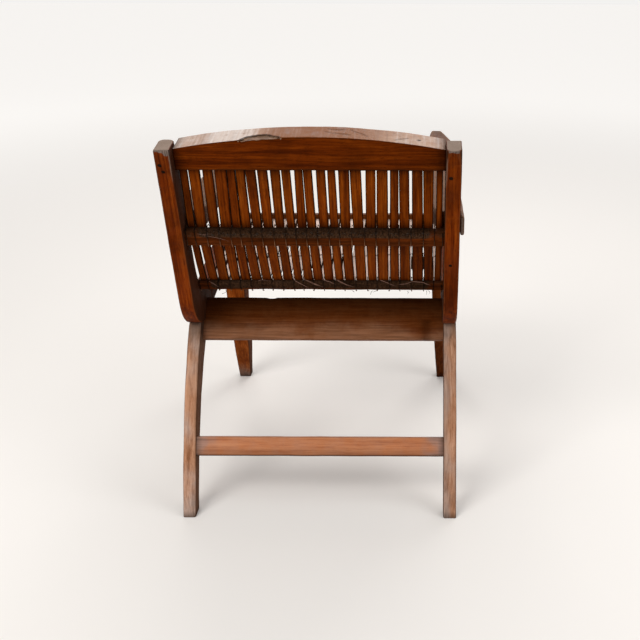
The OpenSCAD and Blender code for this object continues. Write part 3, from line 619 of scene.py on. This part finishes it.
for sx, nm in SIDES:
    sweep("back_post_" + nm, ruled(rear, front, POST_IN, HALF, sx), M_POST, "frame_wood", r=2.2, nb=10, wob=0.7,
          seed=1 + sx, end_r=2.5, rfun=top_worn((1, 2) if sx > 0 else (0, 3)), pale=pale_wear_and_sheen, grey=ragged, tone=post_shade,
          grain=straight_grain(*UP))

# seat rails
fl_edge = smooth([[679, -50], [662, 0], [625, 110], [590, 250], [582, 400], [598, 500], [622, 610]], 8)
def leg_y(z): return curve(z, fl_edge[:, 1], fl_edge[:, 0])
def rail_edge(height, to):
    """a seat rail's lower or upper edge, from the heel to the front leg"""
    return [np.array([y, height(y)]) for y in HEEL_END + (to - HEEL_END) * np.arange(15) / 14]
rail_ends = [rail_edge(rail_low, leg_y(rail_low(583))), rail_edge(rail_top, leg_y(rail_top(590)))]
for sx, nm in SIDES:
    sweep("seat_rail_" + nm, ruled(*rail_ends, POST_IN, HALF, sx), M_POST, "frame_wood", na=5, nb=4, wob=0.6,
          seed=4 + sx, end_r=0.8, grain=straight_grain(*ALONG))

# rear legs
rl_edge = smooth([[-21, -50], [0, 0], [39, 94], [94, 210], [160, 310], [222, 385]], 8)
rl_front = tapered(rl_edge, [(0, 0), (0.33, 0.04), (0.46, 0.14), (0.58, 0.29), (0.71, 0.4), (0.83, 0.52), (0.93, 0.72),
                             (1.07, 1)], 32, LEG_D, 360)
def cross(a, b, z): return a + (b - a) * (z - a[1]) / (b[1] - a[1])
def from_floor(p):
    """the part of a rising line over the floor"""
    i = next(i for i, q in enumerate(p) if q[1] >= 0)
    return [cross(p[i - 1], p[i], 0), *p[i:]]
def until(p, test):
    """the line up to the first point that passes a test"""
    return p[:1 + next((i for i, q in enumerate(p) if test(q)), len(p))]
ra = resample(until(from_floor(rl_edge), lambda q: np.linalg.norm(q - HEEL_C) < HEEL_R), 30)
rb = resample(until(from_floor(rl_front), lambda q: q[0] > HEEL_C[0] and q[1] > rail_low(q[0])), 30)
HEEL_GAP = 0.15
def out_of_heel(v):
    q = v[1:] - HEEL_C
    d = np.linalg.norm(q)
    if d < HEEL_R + HEEL_GAP and v[2] > 300:
        return np.array([v[0], *(HEEL_C + q * (HEEL_R + HEEL_GAP) / d)])
    if v[1] > HEEL_C[0] and v[2] > rail_low(v[1]) - HEEL_GAP:
        return np.array([v[0], v[1], rail_low(v[1]) - HEEL_GAP])
    return v
def leg_light_and_crack(v):
    """painted shadow at the foot and under the heel, a painted highlight along the outer edge, painted shade on the
    left leg's inner edge, and a dark slanting crack at the right
    """
    x, z = abs(v[0]), v[2]
    if v[0] < 0:
        t = curve(z, [0, 3, 6, 40, 160, 250, 300, 325, 340, 352],
                  [0.2, 0.5, 0.98, 1.2, 1.22, 1.18, 1.1, 0.95, 0.65, 0.4])
        t *= 1 + curve(x, [285, 293], [0, 0.3]) * curve(z, [110, 180, 330], [0.2, 1, 0.9])
        return t * (1 - 0.12 * curve(x, [268, 277], [1, 0]))
    t = curve(z, [0, 3, 6, 50, 160, 280, 310, 335, 350], [0.2, 0.5, 0.9, 0.98, 1.02, 0.9, 0.96, 0.9, 0.6])
    t *= 1 + 0.16 * curve(x, [281, 290], [0, 1]) * curve(z, [60, 120, 240], [0, 1, 0.6])
    return t * (1 - 0.3 * max(0, 1 - abs(z - 338 + 0.9 * (x - 280)) / 5) * (1 if x < 286 else 0.3))
def leg_pale(v):
    """dust in patches, most at the feet"""
    n = rnd((v[0] / 1000, v[1] / 1000, v[2] / 2600), 42, 3 + side_of(v))
    more = 0.35 if v[0] < 0 else 0.9 * curve(v[0], [272, 284], [1, 0])
    base = curve(v[2], [0, 60, 120, 215, 290, 340], [0.75, 0.55, 0.3, 0.35, 0.45, 0.55])
    return max(0, base * (0.55 + more) + 0.45 * n)
def rear_leg_shape(v):
    v = out_of_heel(v)
    return np.array([v[0], v[1], max(v[2], 0.0)])
for sx, nm in SIDES:
    sweep("rear_leg_" + nm, ruled(ra, rb, LEG_IN, HALF, sx), M_LEG, "rear_leg_wood", r=3.0, na=6, nb=10, wob=0.7,
          seed=7 + sx, end_r=1.6, tone=leg_light_and_crack, pale=leg_pale, post=rear_leg_shape, grain=straight_grain(0.5, 0.87))

# front legs
fl_front = tapered(fl_edge, [(0, 0), (30, 0.3), (65, 0.75), (100, 1)], 30, LEG_D)
shoulder = rail_low(582) - 4
FOOT_T, KNEE_T = 31, 48
fl_inner = smooth([[HALF - FOOT_T, 0], [HALF - FOOT_T - 0.53 * (KNEE_T - FOOT_T), 130], [HALF - KNEE_T, 290],
                   [HALF - KNEE_T, shoulder - 55], [LEG_IN, shoulder]], 5)
def inner_x(z): return curve(z, fl_inner[:, 1], fl_inner[:, 0])
def leg_shape(v):
    z = max(v[2], 0.0)
    x = abs(v[0])
    lim = inner_x(z) + 0.15
    return np.array([math.copysign(max(x, lim) if x < HALF - 10 else x, v[0]), v[1], z])
# painted shade: the right leg darker than the left, a painted contact shadow at the feet, lighter upwards
def fleg_shade(v):
    return (1.45 if v[0] < 0 else 0.62) * curve(v[2], [0, 3, 6, 60, 200, 300], [0.3, 0.6, 0.85, 1.0, 1.05, 1.2])
def fleg_pale(v): return curve(v[2], [0, 30, 75], [0.75, 0.45, 0.0]) if v[0] < 0 else 0.0
def up_to_arm(p):
    """the part of a rising line between the floor and the arm"""
    z = ARM_TOP - ARM_H - 0.1
    p = until(from_floor(p), lambda q: q[1] > z)
    return resample([*p[:-1], cross(p[-2], p[-1], z)], 40)
fa, fb = up_to_arm(fl_edge), up_to_arm(fl_front)
for sx, nm in SIDES:
    sweep("front_leg_" + nm, ruled(fa, fb, inner_x, HALF, sx), M_FLEG, "front_leg_wood", r=2.4, nb=8, wob=0.7,
          seed=10 + sx, end_r=1.0, tone=fleg_shade, pale=fleg_pale, post=leg_shape, grain=straight_grain(-0.05, 0.99))

# arms: plan outline as inner and outer edges at places along their length; the right one is
# wider outwards and runs on beside its post, the left one stops at its post's front face
ARM_START = post_front(ARM_TOP) - 0.7
def before_post(v):
    if POST_IN - 0.1 < abs(v[0]) < HALF + 0.05:
        return np.array([v[0], max(v[1], post_front(v[2]) + 0.05), v[2]])
    return v
for sx, nm, out in ((-1, "left", HALF), (1, "right", HALF + 9)):
    st = []
    inner = out - ARM_W
    ys = [*(ARM_START + np.array([0, 4, 10, 20, 34])), *np.linspace(235, 760, 22),
          778, 800, 824, 848, 870, 895, 920, 942, 956, 961]
    if sx > 0:
        ys = [130, 140, 150, 160, ARM_START - 0.1] + ys
    for y in ys:
        xo = curve(y, [778, 848, 961], [out, out - 6, out - 28])
        xi = HALF + 0.2 if y < ARM_START else curve(y, [ARM_START, ARM_START + 30, 901, 961],
                                                    [inner + 12, inner, inner, inner + 7])
        st.append(((sx * (xo + xi) / 2, y, ARM_TOP - ARM_H / 2), ((xo - xi) / 2, 0, 0), (0, 0, ARM_H / 2)))
    sweep("arm_" + nm, st, M_ARM, "arm_wood", r=7.0, na=6, nb=4, wob=0.8, seed=13 + sx,
          end_r=2.5, grain=lambda p: (p[1], p[0], p[2]), post=before_post)

# crest rail: along x, leaning back; arched top
CREST_T, CREST_END, CREST_RISE = 56, 45, 25
CR = (POST_IN ** 2 + CREST_RISE ** 2) / (2 * CREST_RISE)
fwdv = np.array([0, math.cos(LEAN), math.sin(LEAN)])
upv = np.array([0, -math.sin(LEAN), math.cos(LEAN)])
def crest_top(x): return CREST_END + CREST_RISE - (CR - math.sqrt(max(0, CR * CR - x * x)))
st = []
for x in np.linspace(-POST_IN, POST_IN, 181):
    h = crest_top(x)
    base = np.array([x, CREST_Y, CREST_Z]) + fwdv * CREST_T / 2 + upv * h / 2
    st.append((base, upv * h / 2, fwdv * CREST_T / 2))


def crest_place(v):
    """height over the crest's foot, distance from its rear face, and the height of its top there"""
    loc = v - np.array([v[0], CREST_Y, CREST_Z])
    return float(np.dot(loc, upv)), float(np.dot(loc, fwdv)), crest_top(v[0])


def flaw_width(x):
    """how far the wane in the rear top edge reaches in at x"""
    f = curve(x, [-136, -128, -118, -104, -92, -80, -68, -58, -50], [0, 0.25, 0.7, 1.0, 1.0, 0.8, 0.45, 0.2, 0])
    return 20 * f * (1 + 0.25 * rnd((x / 1000, 0, 0), 45, 2)) if f else 0.0


CRACKS = [((30, 30), (44, 24), (62, 20), (80, 17)), ((78, 44), (88, 34), (104, 26), (112, 16)),
          ((166, 12), (176, 20), (190, 28)), ((34, 44), (52, 40), (66, 42))]


def crack_near(x, t):
    """distance to the nearest crack, in mm"""
    best, q = 9.0, np.array([x, t])
    for crack in CRACKS:
        for a, b in zip(np.array(crack[:-1], float), np.array(crack[1:], float)):
            f = min(1, max(0, float(np.dot(q - a, b - a) / np.dot(b - a, b - a))))
            best = min(best, float(np.linalg.norm(q - a - f * (b - a))))
    return best


def crest_post(v):
    """the waney dip in the rear top edge, left of the middle, and small cracks"""
    u, t, top = crest_place(v)
    w = flaw_width(v[0])
    if w and t < w and top - u < 14:
        deep = (3.2 + 2 * rnd(v / 1000, 90, 4)) * min(1, (w - t) / 4) * max(0, 1 - (top - u) / 14)
        v = v - upv * deep + fwdv * min(1.2, 0.3 * deep)
    elif top - u < 3 and crack_near(v[0], t) < 1.6:
        v = v - upv * 1.2
    return v


# painted shadow where the crest meets the posts; the rear face darker towards its lower edge and lighter on the left;
# dark lines along the wane and the cracks, and a dark spot
def crest_shade_and_cracks(v):
    u, t, top = crest_place(v)
    w = flaw_width(v[0])
    f = curve(u, [0, 4, 14], [0.62, 0.85, 1.0]) if t < 5 else 1.0
    if t < 1.5:
        f *= curve(v[0], [-240, 0, 120], [1.14, 1.12, 1.0])
    f *= curve(POST_IN - abs(v[0]), [0, 6, 22], [0.35, 0.62, 1.0])
    if top - u < 8 and w > 2.5 and t > 1.6 and abs(t - w) < 2.6:
        f *= 0.22
    if top - u < 5 and t > 2:
        f *= 0.45 + 0.55 * min(1, crack_near(v[0], t) / 3.2)
        if (v[0] - 211) ** 2 + (t - 26) ** 2 < 14:
            f *= 0.2
    return f


def crest_grey(v):
    u, t, top = crest_place(v)
    w = flaw_width(v[0])
    return 1.0 if w and t < w - 0.5 and top - u < (7 if t > 1.5 else 3) else 0.0


def crest_worn(v):
    """how pale the upper face is, from wear and a painted sheen: most at the left, least in the middle"""
    return curve(v[0], [-263, -200, -180, -118, -96, -60, 60, 110, 150, 180, 225, 250, 263],
                 [0.8, 0.72, 1.05, 0.98, 0.52, 0.08, 0.14, 0.28, 0.5, 0.66, 0.62, 0.75, 0.3])


sweep("crest_rail", st, M_CREST, "crest_wood", r=[1.6, 2.5, 1.8, 1.6], na=14, nb=20, wob=0.8,
      seed=17, end_r=0.8, post=crest_post, tone=crest_shade_and_cracks, worn=crest_worn, grey=crest_grey,
      grain=lambda p: (p[0], float(np.dot(p, upv)), float(np.dot(p, fwdv))))


def cross_board(name, mat, slot, origin, tilt, t, h, seed, n=40, **kw):
    """board between the rear legs; its rear lower edge is at origin (y, z)"""
    tl = math.radians(tilt)
    u, f = np.array([0, -math.sin(tl), math.cos(tl)]), np.array([0, math.cos(tl), math.sin(tl)])
    st = [(np.array([x, *origin]) + u * h / 2 + f * t / 2, u * h / 2, f * t / 2)
          for x in np.linspace(-LEG_IN - 0.5, LEG_IN + 0.5, n)]
    sweep(name, st, mat, slot, r=1.6, wob=0.6, seed=seed, end_r=0.6, na=16,
          grain=lambda p: (p[0], float(np.dot(p, u)), float(np.dot(p, f))), **kw)


APRON_FOOT, APRON_RISE, STR_FOOT, STR_RISE = 330, 75, 121.8, 37.3


# painted shadow on the apron's upper part, under the back; a dark stain at the right
def apron_shadow_and_stain(v):
    u = (v[2] - APRON_FOOT) / APRON_RISE        # 0 at the lower edge, 1 at the upper
    t = curve(u, [-0.1, 0.15, 0.45, 0.7, 0.85, 1.1], [0.98, 0.95, 0.66, 0.38, 0.3, 0.22])
    if abs(v[0] - 228) < 22 and u < 0.45:       # a dark stain at the right
        t *= 0.45 + 0.55 * min(1, abs(v[0] - 228) / 16)
    return t


# paler towards the lower edge: dust and a painted sheen from above
def apron_dust_and_sheen(v):
    u = (v[2] - APRON_FOOT) / APRON_RISE
    return max(0, curve(u, [0, 0.12, 0.35, 0.6], [0.85, 0.7, 0.4, 0.0]) * (1 + 0.8 * rnd((v[0] / 1000, u / 9, 2), 16)))


def apron_chip(v):
    """a piece split off the upper edge"""
    if -126 < v[0] < -106 and v[2] > 397 and v[1] < 268:
        return v - np.array([0, 0.625, 0.78]) * 2.6
    return v


# painted shadow along the lower edge, and darker towards the ends
def str_shadow(v):
    u = (v[2] - STR_FOOT) / STR_RISE
    t = curve(u, [0.0, 0.045, 0.09, 0.5, 0.93, 1.0], [0.1, 0.2, 0.7, 1.05, 1.0, 0.85])
    return t * curve(abs(v[0]), [252, 260, 266], [1, 0.88, 0.5])


def str_pale(v):
    return curve(abs(v[0] + 4), [205, 252], [0, 1]) * (0.8 + 0.9 * rnd(v / 1000, 35, 4)) \
        + max(0, 0.5 * rnd(v / 1000, 22, 6))


cross_board("apron_board", M_APRON, "apron_wood", (205, APRON_FOOT), -38.7, 18, 96, 21, 64, nb=2, tone=apron_shadow_and_stain,
            post=apron_chip, pale=apron_dust_and_sheen)
cross_board("rear_stretcher", M_STR, "stretcher_wood", (54, STR_FOOT), -26, 19, 41.5, 23, tone=str_shadow, pale=str_pale)


def at_bar(b, u, v, x=0):
    """point at u up the bar and v behind the slats' rear face"""
    tl = math.radians(b[1])
    return np.array([x, b[0][0] - math.sin(tl) * u - math.cos(tl) * v, b[0][1] + math.cos(tl) * u - math.sin(tl) * v])


def along_bar(b, v):
    """height up the bar and distance behind the slats' rear face of a point"""
    tl = math.radians(b[1])
    dy, dz = v[1] - b[0][0], v[2] - b[0][1]
    return -math.sin(tl) * dy + math.cos(tl) * dz, -math.cos(tl) * dy - math.sin(tl) * dz


def bar_band(b, nm):
    def f(v):
        u, w = along_bar(b, v)
        x = abs(v[0] + (4 if v[0] < 0 else 0))
        ends = curve(x, [222, 236], [1, 0.25])
        if nm == "upper_back_bar":
            return curve(u, [1.0, 4.0], [0.12, 1.0]) * max(ends, 0.5)
        return curve(u, [-7, -2], [0.35, 1.0]) * ends
    return f


# painted shade where the bar meets the slats; the upper bar darker along its top edge and lighter at its bare ends
def bar_shade(b, nm):
    def f(v):
        u, w = along_bar(b, v)
        if nm == "upper_back_bar":
            base = 1.3 if abs(v[0]) > 228 else 1.1
            return base * curve(u, [0, 3, 8, 14, 17], [1.0, 1.25, 1.0, 0.8, 0.55]) * curve(w, [2, 9], [0.4, 1.0])
        return curve(w, [1, 6], [0.3, 0.92]) * (1 + 0.5 * rnd((v[0] / 30, u / 9, 3), 1.0, 2))
    return f


for nm, b, seed in (("upper_back_bar", UPPER, 25), ("lower_back_bar", LOWER, 27), ("seat_bar", SEATB, 29)):
    c = at_bar(b, 0, b[3] / 2)
    uu = at_bar(b, b[2] / 2, b[3] / 2) - c
    vv = at_bar(b, 0, b[3]) - c
    st = [(c + np.array([x, 0, 0]), uu, vv) for x in np.linspace(-POST_IN - 0.5, POST_IN + 0.5, 90)]
    sweep(nm, st, M_BAR, "bar_wood", r=2.2, na=8, nb=3, wob=0.9, seed=seed, end_r=0.6,
          band=bar_band(b, nm), tone=bar_shade(b, nm), grain=tuple)

def softened(cad, mat, width):
    """a piece in its CAD form with softened edges"""
    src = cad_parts[cad]
    me = src.data.copy()
    ob = bpy.data.objects.new(cad + "_wood", me)
    ob.matrix_world = src.matrix_world
    bm = bmesh.new(); bm.from_mesh(me)
    bmesh.ops.remove_doubles(bm, verts=bm.verts, dist=1e-6)
    bmesh.ops.dissolve_limit(bm, angle_limit=math.radians(1), verts=bm.verts, edges=bm.edges)
    sharp = [e for e in bm.edges if len(e.link_faces) == 2 and e.calc_face_angle(0) > math.radians(28)]
    bmesh.ops.bevel(bm, geom=sharp, offset=width / 1000, segments=2, affect="EDGES", clamp_overlap=True)
    bmesh.ops.triangulate(bm, faces=bm.faces)
    bm.to_mesh(me); bm.free()
    me.materials.clear()
    return dress(ob, mat, {"grain": np.array([v.co for v in me.vertices])}, cad, 30)


softened("front_seat_rail", M_RAIL, 1.5)
pegs = []
for x, z, l in ((-285, 746, 30), (-280, 733, 30), (273, 722, 18), (276, 531, 18)):
    pegs.append([np.array([x, post_rear(z), z]) + fwdv * d for d in (-0.35, 0.4, 4, l / 2, l)])
tube_object("post_pegs_wood", pegs, [3.3, 3.2, 3.7, 2.9], M_PEG, "peg_wood", replaces="post_pegs", sides=16)
softened("seat_frame_pegs", M_PEG, 0.5)

# ---------------------------------------------------------------- slats
line = smooth(SLAT_LINE, 9)
for i in range(SLATS):
    st = []
    for k, (y, z) in enumerate(line):
        t = line[min(len(line) - 1, k + 1)] - line[max(0, k - 1)]
        t /= np.linalg.norm(t)
        nrm = np.array([-t[1], t[0]])            # towards the sitter
        zz = z if y < SEAT_Y else SEAT_Z
        xl = seam_at(i, zz) + gap_at(i, zz) / 2
        xr = seam_at(i + 1, zz) - gap_at(i + 1, zz) / 2
        w = 0.5 * rnd((k / 9, i * 2.3, 0), 0.7, i)
        c = np.array([(xl + xr) / 2 + w * 0.6, y + nrm[0] * SLAT_T / 2, z + nrm[1] * SLAT_T / 2])
        st.append((c, ((xr - xl) / 2, 0, 0), (0, nrm[0] * SLAT_T / 2, nrm[1] * SLAT_T / 2)))
    own = 1 + 0.2 * rnd((i * 0.71, 0.3, 0), 1.9, 4)
    # painted shadows of the crest and the bars across the slats, and painted shade along the gaps between slats; own
    # tone and noise vary at random
    def slat_shade(v, own=own, i=i):
        z = v[2] if v[1] < SEAT_Y else SEAT_Z
        f = curve(z, [440, 452, 466, 476, 556, 571, 612, 622, 705, 724, 731],
                  [0.5, 0.8, 0.5, 1.0, 1.0, 0.75, 0.45, 1.0, 1.0, 0.75, 0.5]) if v[1] < SEAT_Y else 1.0
        left = v[0] - seam_at(i, z) - gap_at(i, z) / 2
        right = seam_at(i + 1, z) - gap_at(i + 1, z) / 2 - v[0]
        f *= 0.42 + 0.58 * min(1, max(0, min(left, right)) / 3.0)
        return own * f * (1 + 0.16 * rnd((v[0] / 22, v[2] / 60, own * 9), 1.0, 3))
    # pale: a painted reflection on the seat part's upper faces
    sweep("slat_%02d" % (i + 1), st, M_SLAT, "slat_wood", r=1.0, na=8, nb=1, wob=0.35, seed=31 + i * 1.3, end_r=0.6,
          tone=slat_shade, pale=lambda v: curve(v[1], [262, 300], [0, 1]))

# ---------------------------------------------------------------- lacings
CORD_R, CORD_C = 0.7, 1.0


def lace_points(b):
    pts = []
    zc = b[0][1]
    zt, zb, k = b[2] / 2 + CORD_C, -b[2] / 2 - CORD_C, 2.2
    yr, yf = b[3] + CORD_C, -(SLAT_T + CORD_C + 0.35)
    def q(x, v, u): pts.append(at_bar(b, u, v, x))
    for i in range(SLATS):
        x0, x1 = seam_at(i, zc), seam_at(i + 1, zc)
        j = 1.2 * rnd((i * 0.37, zc, 0), 3, 5)
        q(x0 + j * 0.2, yr, zb + k); q(x0 + j * 0.6, yr + 0.1, 0); q(x0 + j * 0.2, yr, zt - k)
        q(x0, yr - k, zt); q(x0, yf + k, zt)
        q(x0 + 0.8, yf, zt - k); q((x0 + x1) / 2 + j, yf - 0.1, 0); q(x1 - 0.8, yf, zb + k)
        q(x1, yf + k, zb); q(x1, yr - k, zb)
    x = seam_at(SLATS, zc)
    q(x, yr, zb + k); q(x, yr, zt - k * 1.5)
    return pts


# painted shade where the cord runs in front of the slats and on the seat lacing; darker at the ends and towards the top
# of the bar
def lace_shade(b, nm):
    def f(v):
        u, w = along_bar(b, v)
        turn = 0.7 + 0.7 * rnd((v[0] / 23, b[0][1], 0), 1.7, 6)
        if w < 0 or nm == "seat_lacing":
            return 0.35
        if abs(v[0]) > 221:
            turn *= 0.35
        if nm == "upper_lacing":
            return curve(u, [-18, -12, -6, -1, 4], [1.45, 1.35, 1.05, 0.38, 0.08]) * turn
        return curve(u, [-13, -11, -8, 0], [1.3, 1.1, 0.28, 0.1]) * turn
    return f


for nm, b in (("upper_lacing", UPPER), ("lower_lacing", LOWER), ("seat_lacing", SEATB)):
    tube_object(nm + "_cord", [lace_points(b)], CORD_R, M_CORD, "lacing_cord", nm, sides=8, steps=2,
                tone=lace_shade(b, nm))


def on_bar(b, threads):
    """threads through points (x, height up the bar, distance behind the slats) in mm"""
    return [[at_bar(b, u, v, x) for x, u, v in q] for q in threads]


# fibres that have come loose from the old winding and lie over the bars
LOW_STRANDS = [[(-240, 12.7, 6.9), (-234, 12.6, 11), (-228, 10.5, 13.2), (-218, -3.6, 13.4)],
               [(-57, 12.7, 3.2), (-49, 12.8, 9), (-41, 11.7, 13.2), (-33, 4.5, 13.4), (-26, -2.3, 13.2)],
               [(-36, 12.7, 0.4), (-27, 12.9, 6.5), (-18, 12.7, 11.2), (-10, 9.5, 13.2), (-1, 4.9, 13.2)],
               [(-30, 12.7, 3), (-18, 12.7, 10.2), (-8, 10, 13.2), (5, 1.4, 13.2)],
               [(31, 12.7, 0), (42, 12.7, 8.1), (52, 12.3, 12.8), (60, 8, 13.2), (68, 3.6, 13.2)],
               [(34, 12.7, 0.5), (46, 12.7, 9.1), (56, 9.5, 13.2), (71, 2.4, 13.2)],
               [(3, 12.7, 1.5), (12, 12.8, 5), (21, 12.7, 8.2), (34, 8.7, 13.2)],
               [(169, 11.3, 13.2), (184, 12.7, 12.4), (193, 12.8, 8.5), (202, 12.7, 5.7), (212, 12.8, 6.6),
                (221, 12.7, 8.6), (230, 12, 12.9), (238, 8.6, 13.2)],
               [(198, 12.7, 6.6), (210, 12.9, 7.8), (222, 12.7, 9.8), (234, 10.6, 13.2)],
               [(128, 12.7, 2.3), (137, 12.8, 6.5), (145, 12.7, 10.3), (154, 10, 13.2), (162, 6, 13.2)],
               [(-134, 12.7, 6.3), (-126, 12.8, 3.5), (-108, 12.7, 6.2)]]
UP_STRANDS = [[(-226, 8, 18.1), (-217, 7.2, 18.3), (-201, 3.6, 18.3), (-188, 0.1, 18.3), (-174, -6, 18.2)],
              [(-236, 12, 18.2), (-222, 11, 18.4), (-205, 12.6, 18.2)]]
tube_object("upper_lacing_strands", on_bar(UPPER, UP_STRANDS), 0.42, M_STRAND, "lacing_cord",
            sides=6, steps=4, taper=True)
tube_object("lower_lacing_strands", on_bar(LOWER, LOW_STRANDS), 0.8, M_STRAND, "lacing_cord",
            sides=6, steps=4, taper=True)
# frayed ends below the lower bar
random.seed(7)
FRAYS = [[(-208, -11, 12), (-206, -15, 13.5), (-210, -21, 12.5), (-217, -27, 11), (-219, -31, 10)],
         [(66, -11.5, 12), (71, -15, 13.2), (70, -18.5, 12.4)],
         [(112, -11, 12.6), (108, -17, 13.2), (107, -24, 12), (105, -29, 11)],
         [(124, -8, 13.2), (117, -13, 13.4), (112, -17, 13)], [(186, -11, 12.6), (189, -17, 13), (187, -25, 12)],
         [(228, -11, 12.4), (229, -18, 13), (228, -29, 11.5)], [(232, -11, 12.4), (236, -17, 13), (233, -24, 12)]]
nubs = []
for i in range(SLATS + 1):
    x = seam_at(i, LOW_Z) + random.uniform(-1, 1)
    nubs.append([(x, -9, 13.2), (x + random.uniform(-1, 1), -12.6, 12.6), (x + random.uniform(-2, 2), -14.4, 10.5)])
tube_object("lower_lacing_frays", on_bar(LOWER, FRAYS), 0.45, M_DARKSTRAND, "lacing_cord", sides=6,
            steps=4, taper=True)
tube_object("lower_lacing_nubs", on_bar(LOWER, nubs), 0.75, M_CORD, "lacing_cord", sides=6, steps=3)
# lint along the upper bar's top edge
lint = []
for i in range(150):
    x = random.uniform(-238, 246)
    u0 = random.uniform(8, 17)
    lx, lu = random.uniform(-9, 9), random.uniform(-3, 4)
    lint.append([(x, u0, 18), (x + lx * 0.5, u0 + lu, 18 + random.uniform(0.4, 1.6)),
                 (x + lx, u0 + random.uniform(-3, 2), 18)])
tube_object("upper_lacing_lint", on_bar(UPPER, lint), 0.38, M_FUZZ, "lacing_cord", sides=5, steps=3, taper=True)

# ---------------------------------------------------------------- stage and light
FLOOR_HALF, FLOOR_LIFT, WORLD, WORLD_SEEN = 14, (0.06, 0.5), 0.5, 0.9


def background_rays(t):
    """1 for what the camera, gloss and clear glass see of the background"""
    camera_, gloss, glass = (t.value("LightPath", k) for k in ("Is Camera Ray", "Is Glossy Ray", "Is Transmission Ray"))
    return t.math("ADD", camera_ + gloss, glass, True)


def area(name, loc, target, size, power, col=(1, 1, 1)):
    lamp = bpy.data.lights.new(name, "AREA")
    lamp.shape, lamp.energy, lamp.color = "RECTANGLE", power, col
    lamp.size, lamp.size_y = size
    ob = bpy.data.objects.new(name, lamp)
    ob.location = loc
    ob.rotation_euler = (Vector(target) - Vector(loc)).to_track_quat("-Z", "Y").to_euler()
    bpy.context.scene.collection.objects.link(ob)


def stage():
    s = FLOOR_HALF
    me = bpy.data.meshes.new("floor")
    me.from_pydata([(-s, -s, 0), (s, -s, 0), (s, s, 0), (-s, s, 0)], [], [(0, 1, 2, 3)])
    m = bpy.data.materials.new("floor_paper")
    t = Tree(m)
    # what is seen of the floor is lifted towards white, more with the distance
    away = t.value("VectorMath", "Value", ((0, t.value("TexCoord", "Object")),), operation="LENGTH")
    glow = background_rays(t) * t.span(away, 1.2, 5.0, *FLOOR_LIFT)
    for key, v in (("Base Color", (0.8, 0.775, 0.75)), ("Roughness", 0.9), ("Specular IOR Level", 0.2),
                   ("Emission Color", (1.0, 0.99, 0.975)), ("Emission Strength", glow)):
        t.put(v, t.nodes["Principled BSDF"].inputs[key])
    me.materials.append(m)
    ob = bpy.data.objects.new("floor", me)
    bpy.context.scene.collection.objects.link(ob)
    w = bpy.context.scene.world = bpy.data.worlds.new("world")
    t = Tree(w)
    bg = t.nodes["Background"]
    t.put((1.0, 0.985, 0.965), bg.inputs[0])
    t.put(background_rays(t) * (WORLD_SEEN - WORLD) + WORLD, bg.inputs[1])
    area("key", (-1.6, -2.2, 2.6), (0, 0, 0.4), (1.8, 1.4), 55, (1, 0.98, 0.95))
    area("fill", (2.4, -1.2, 1.8), (0, 0, 0.4), (1.6, 1.6), 22)
    area("top", (0.2, 1.6, 2.6), (0, 0, 0.6), (2.4, 1.2), 40, (1, 0.98, 0.96))


stage()
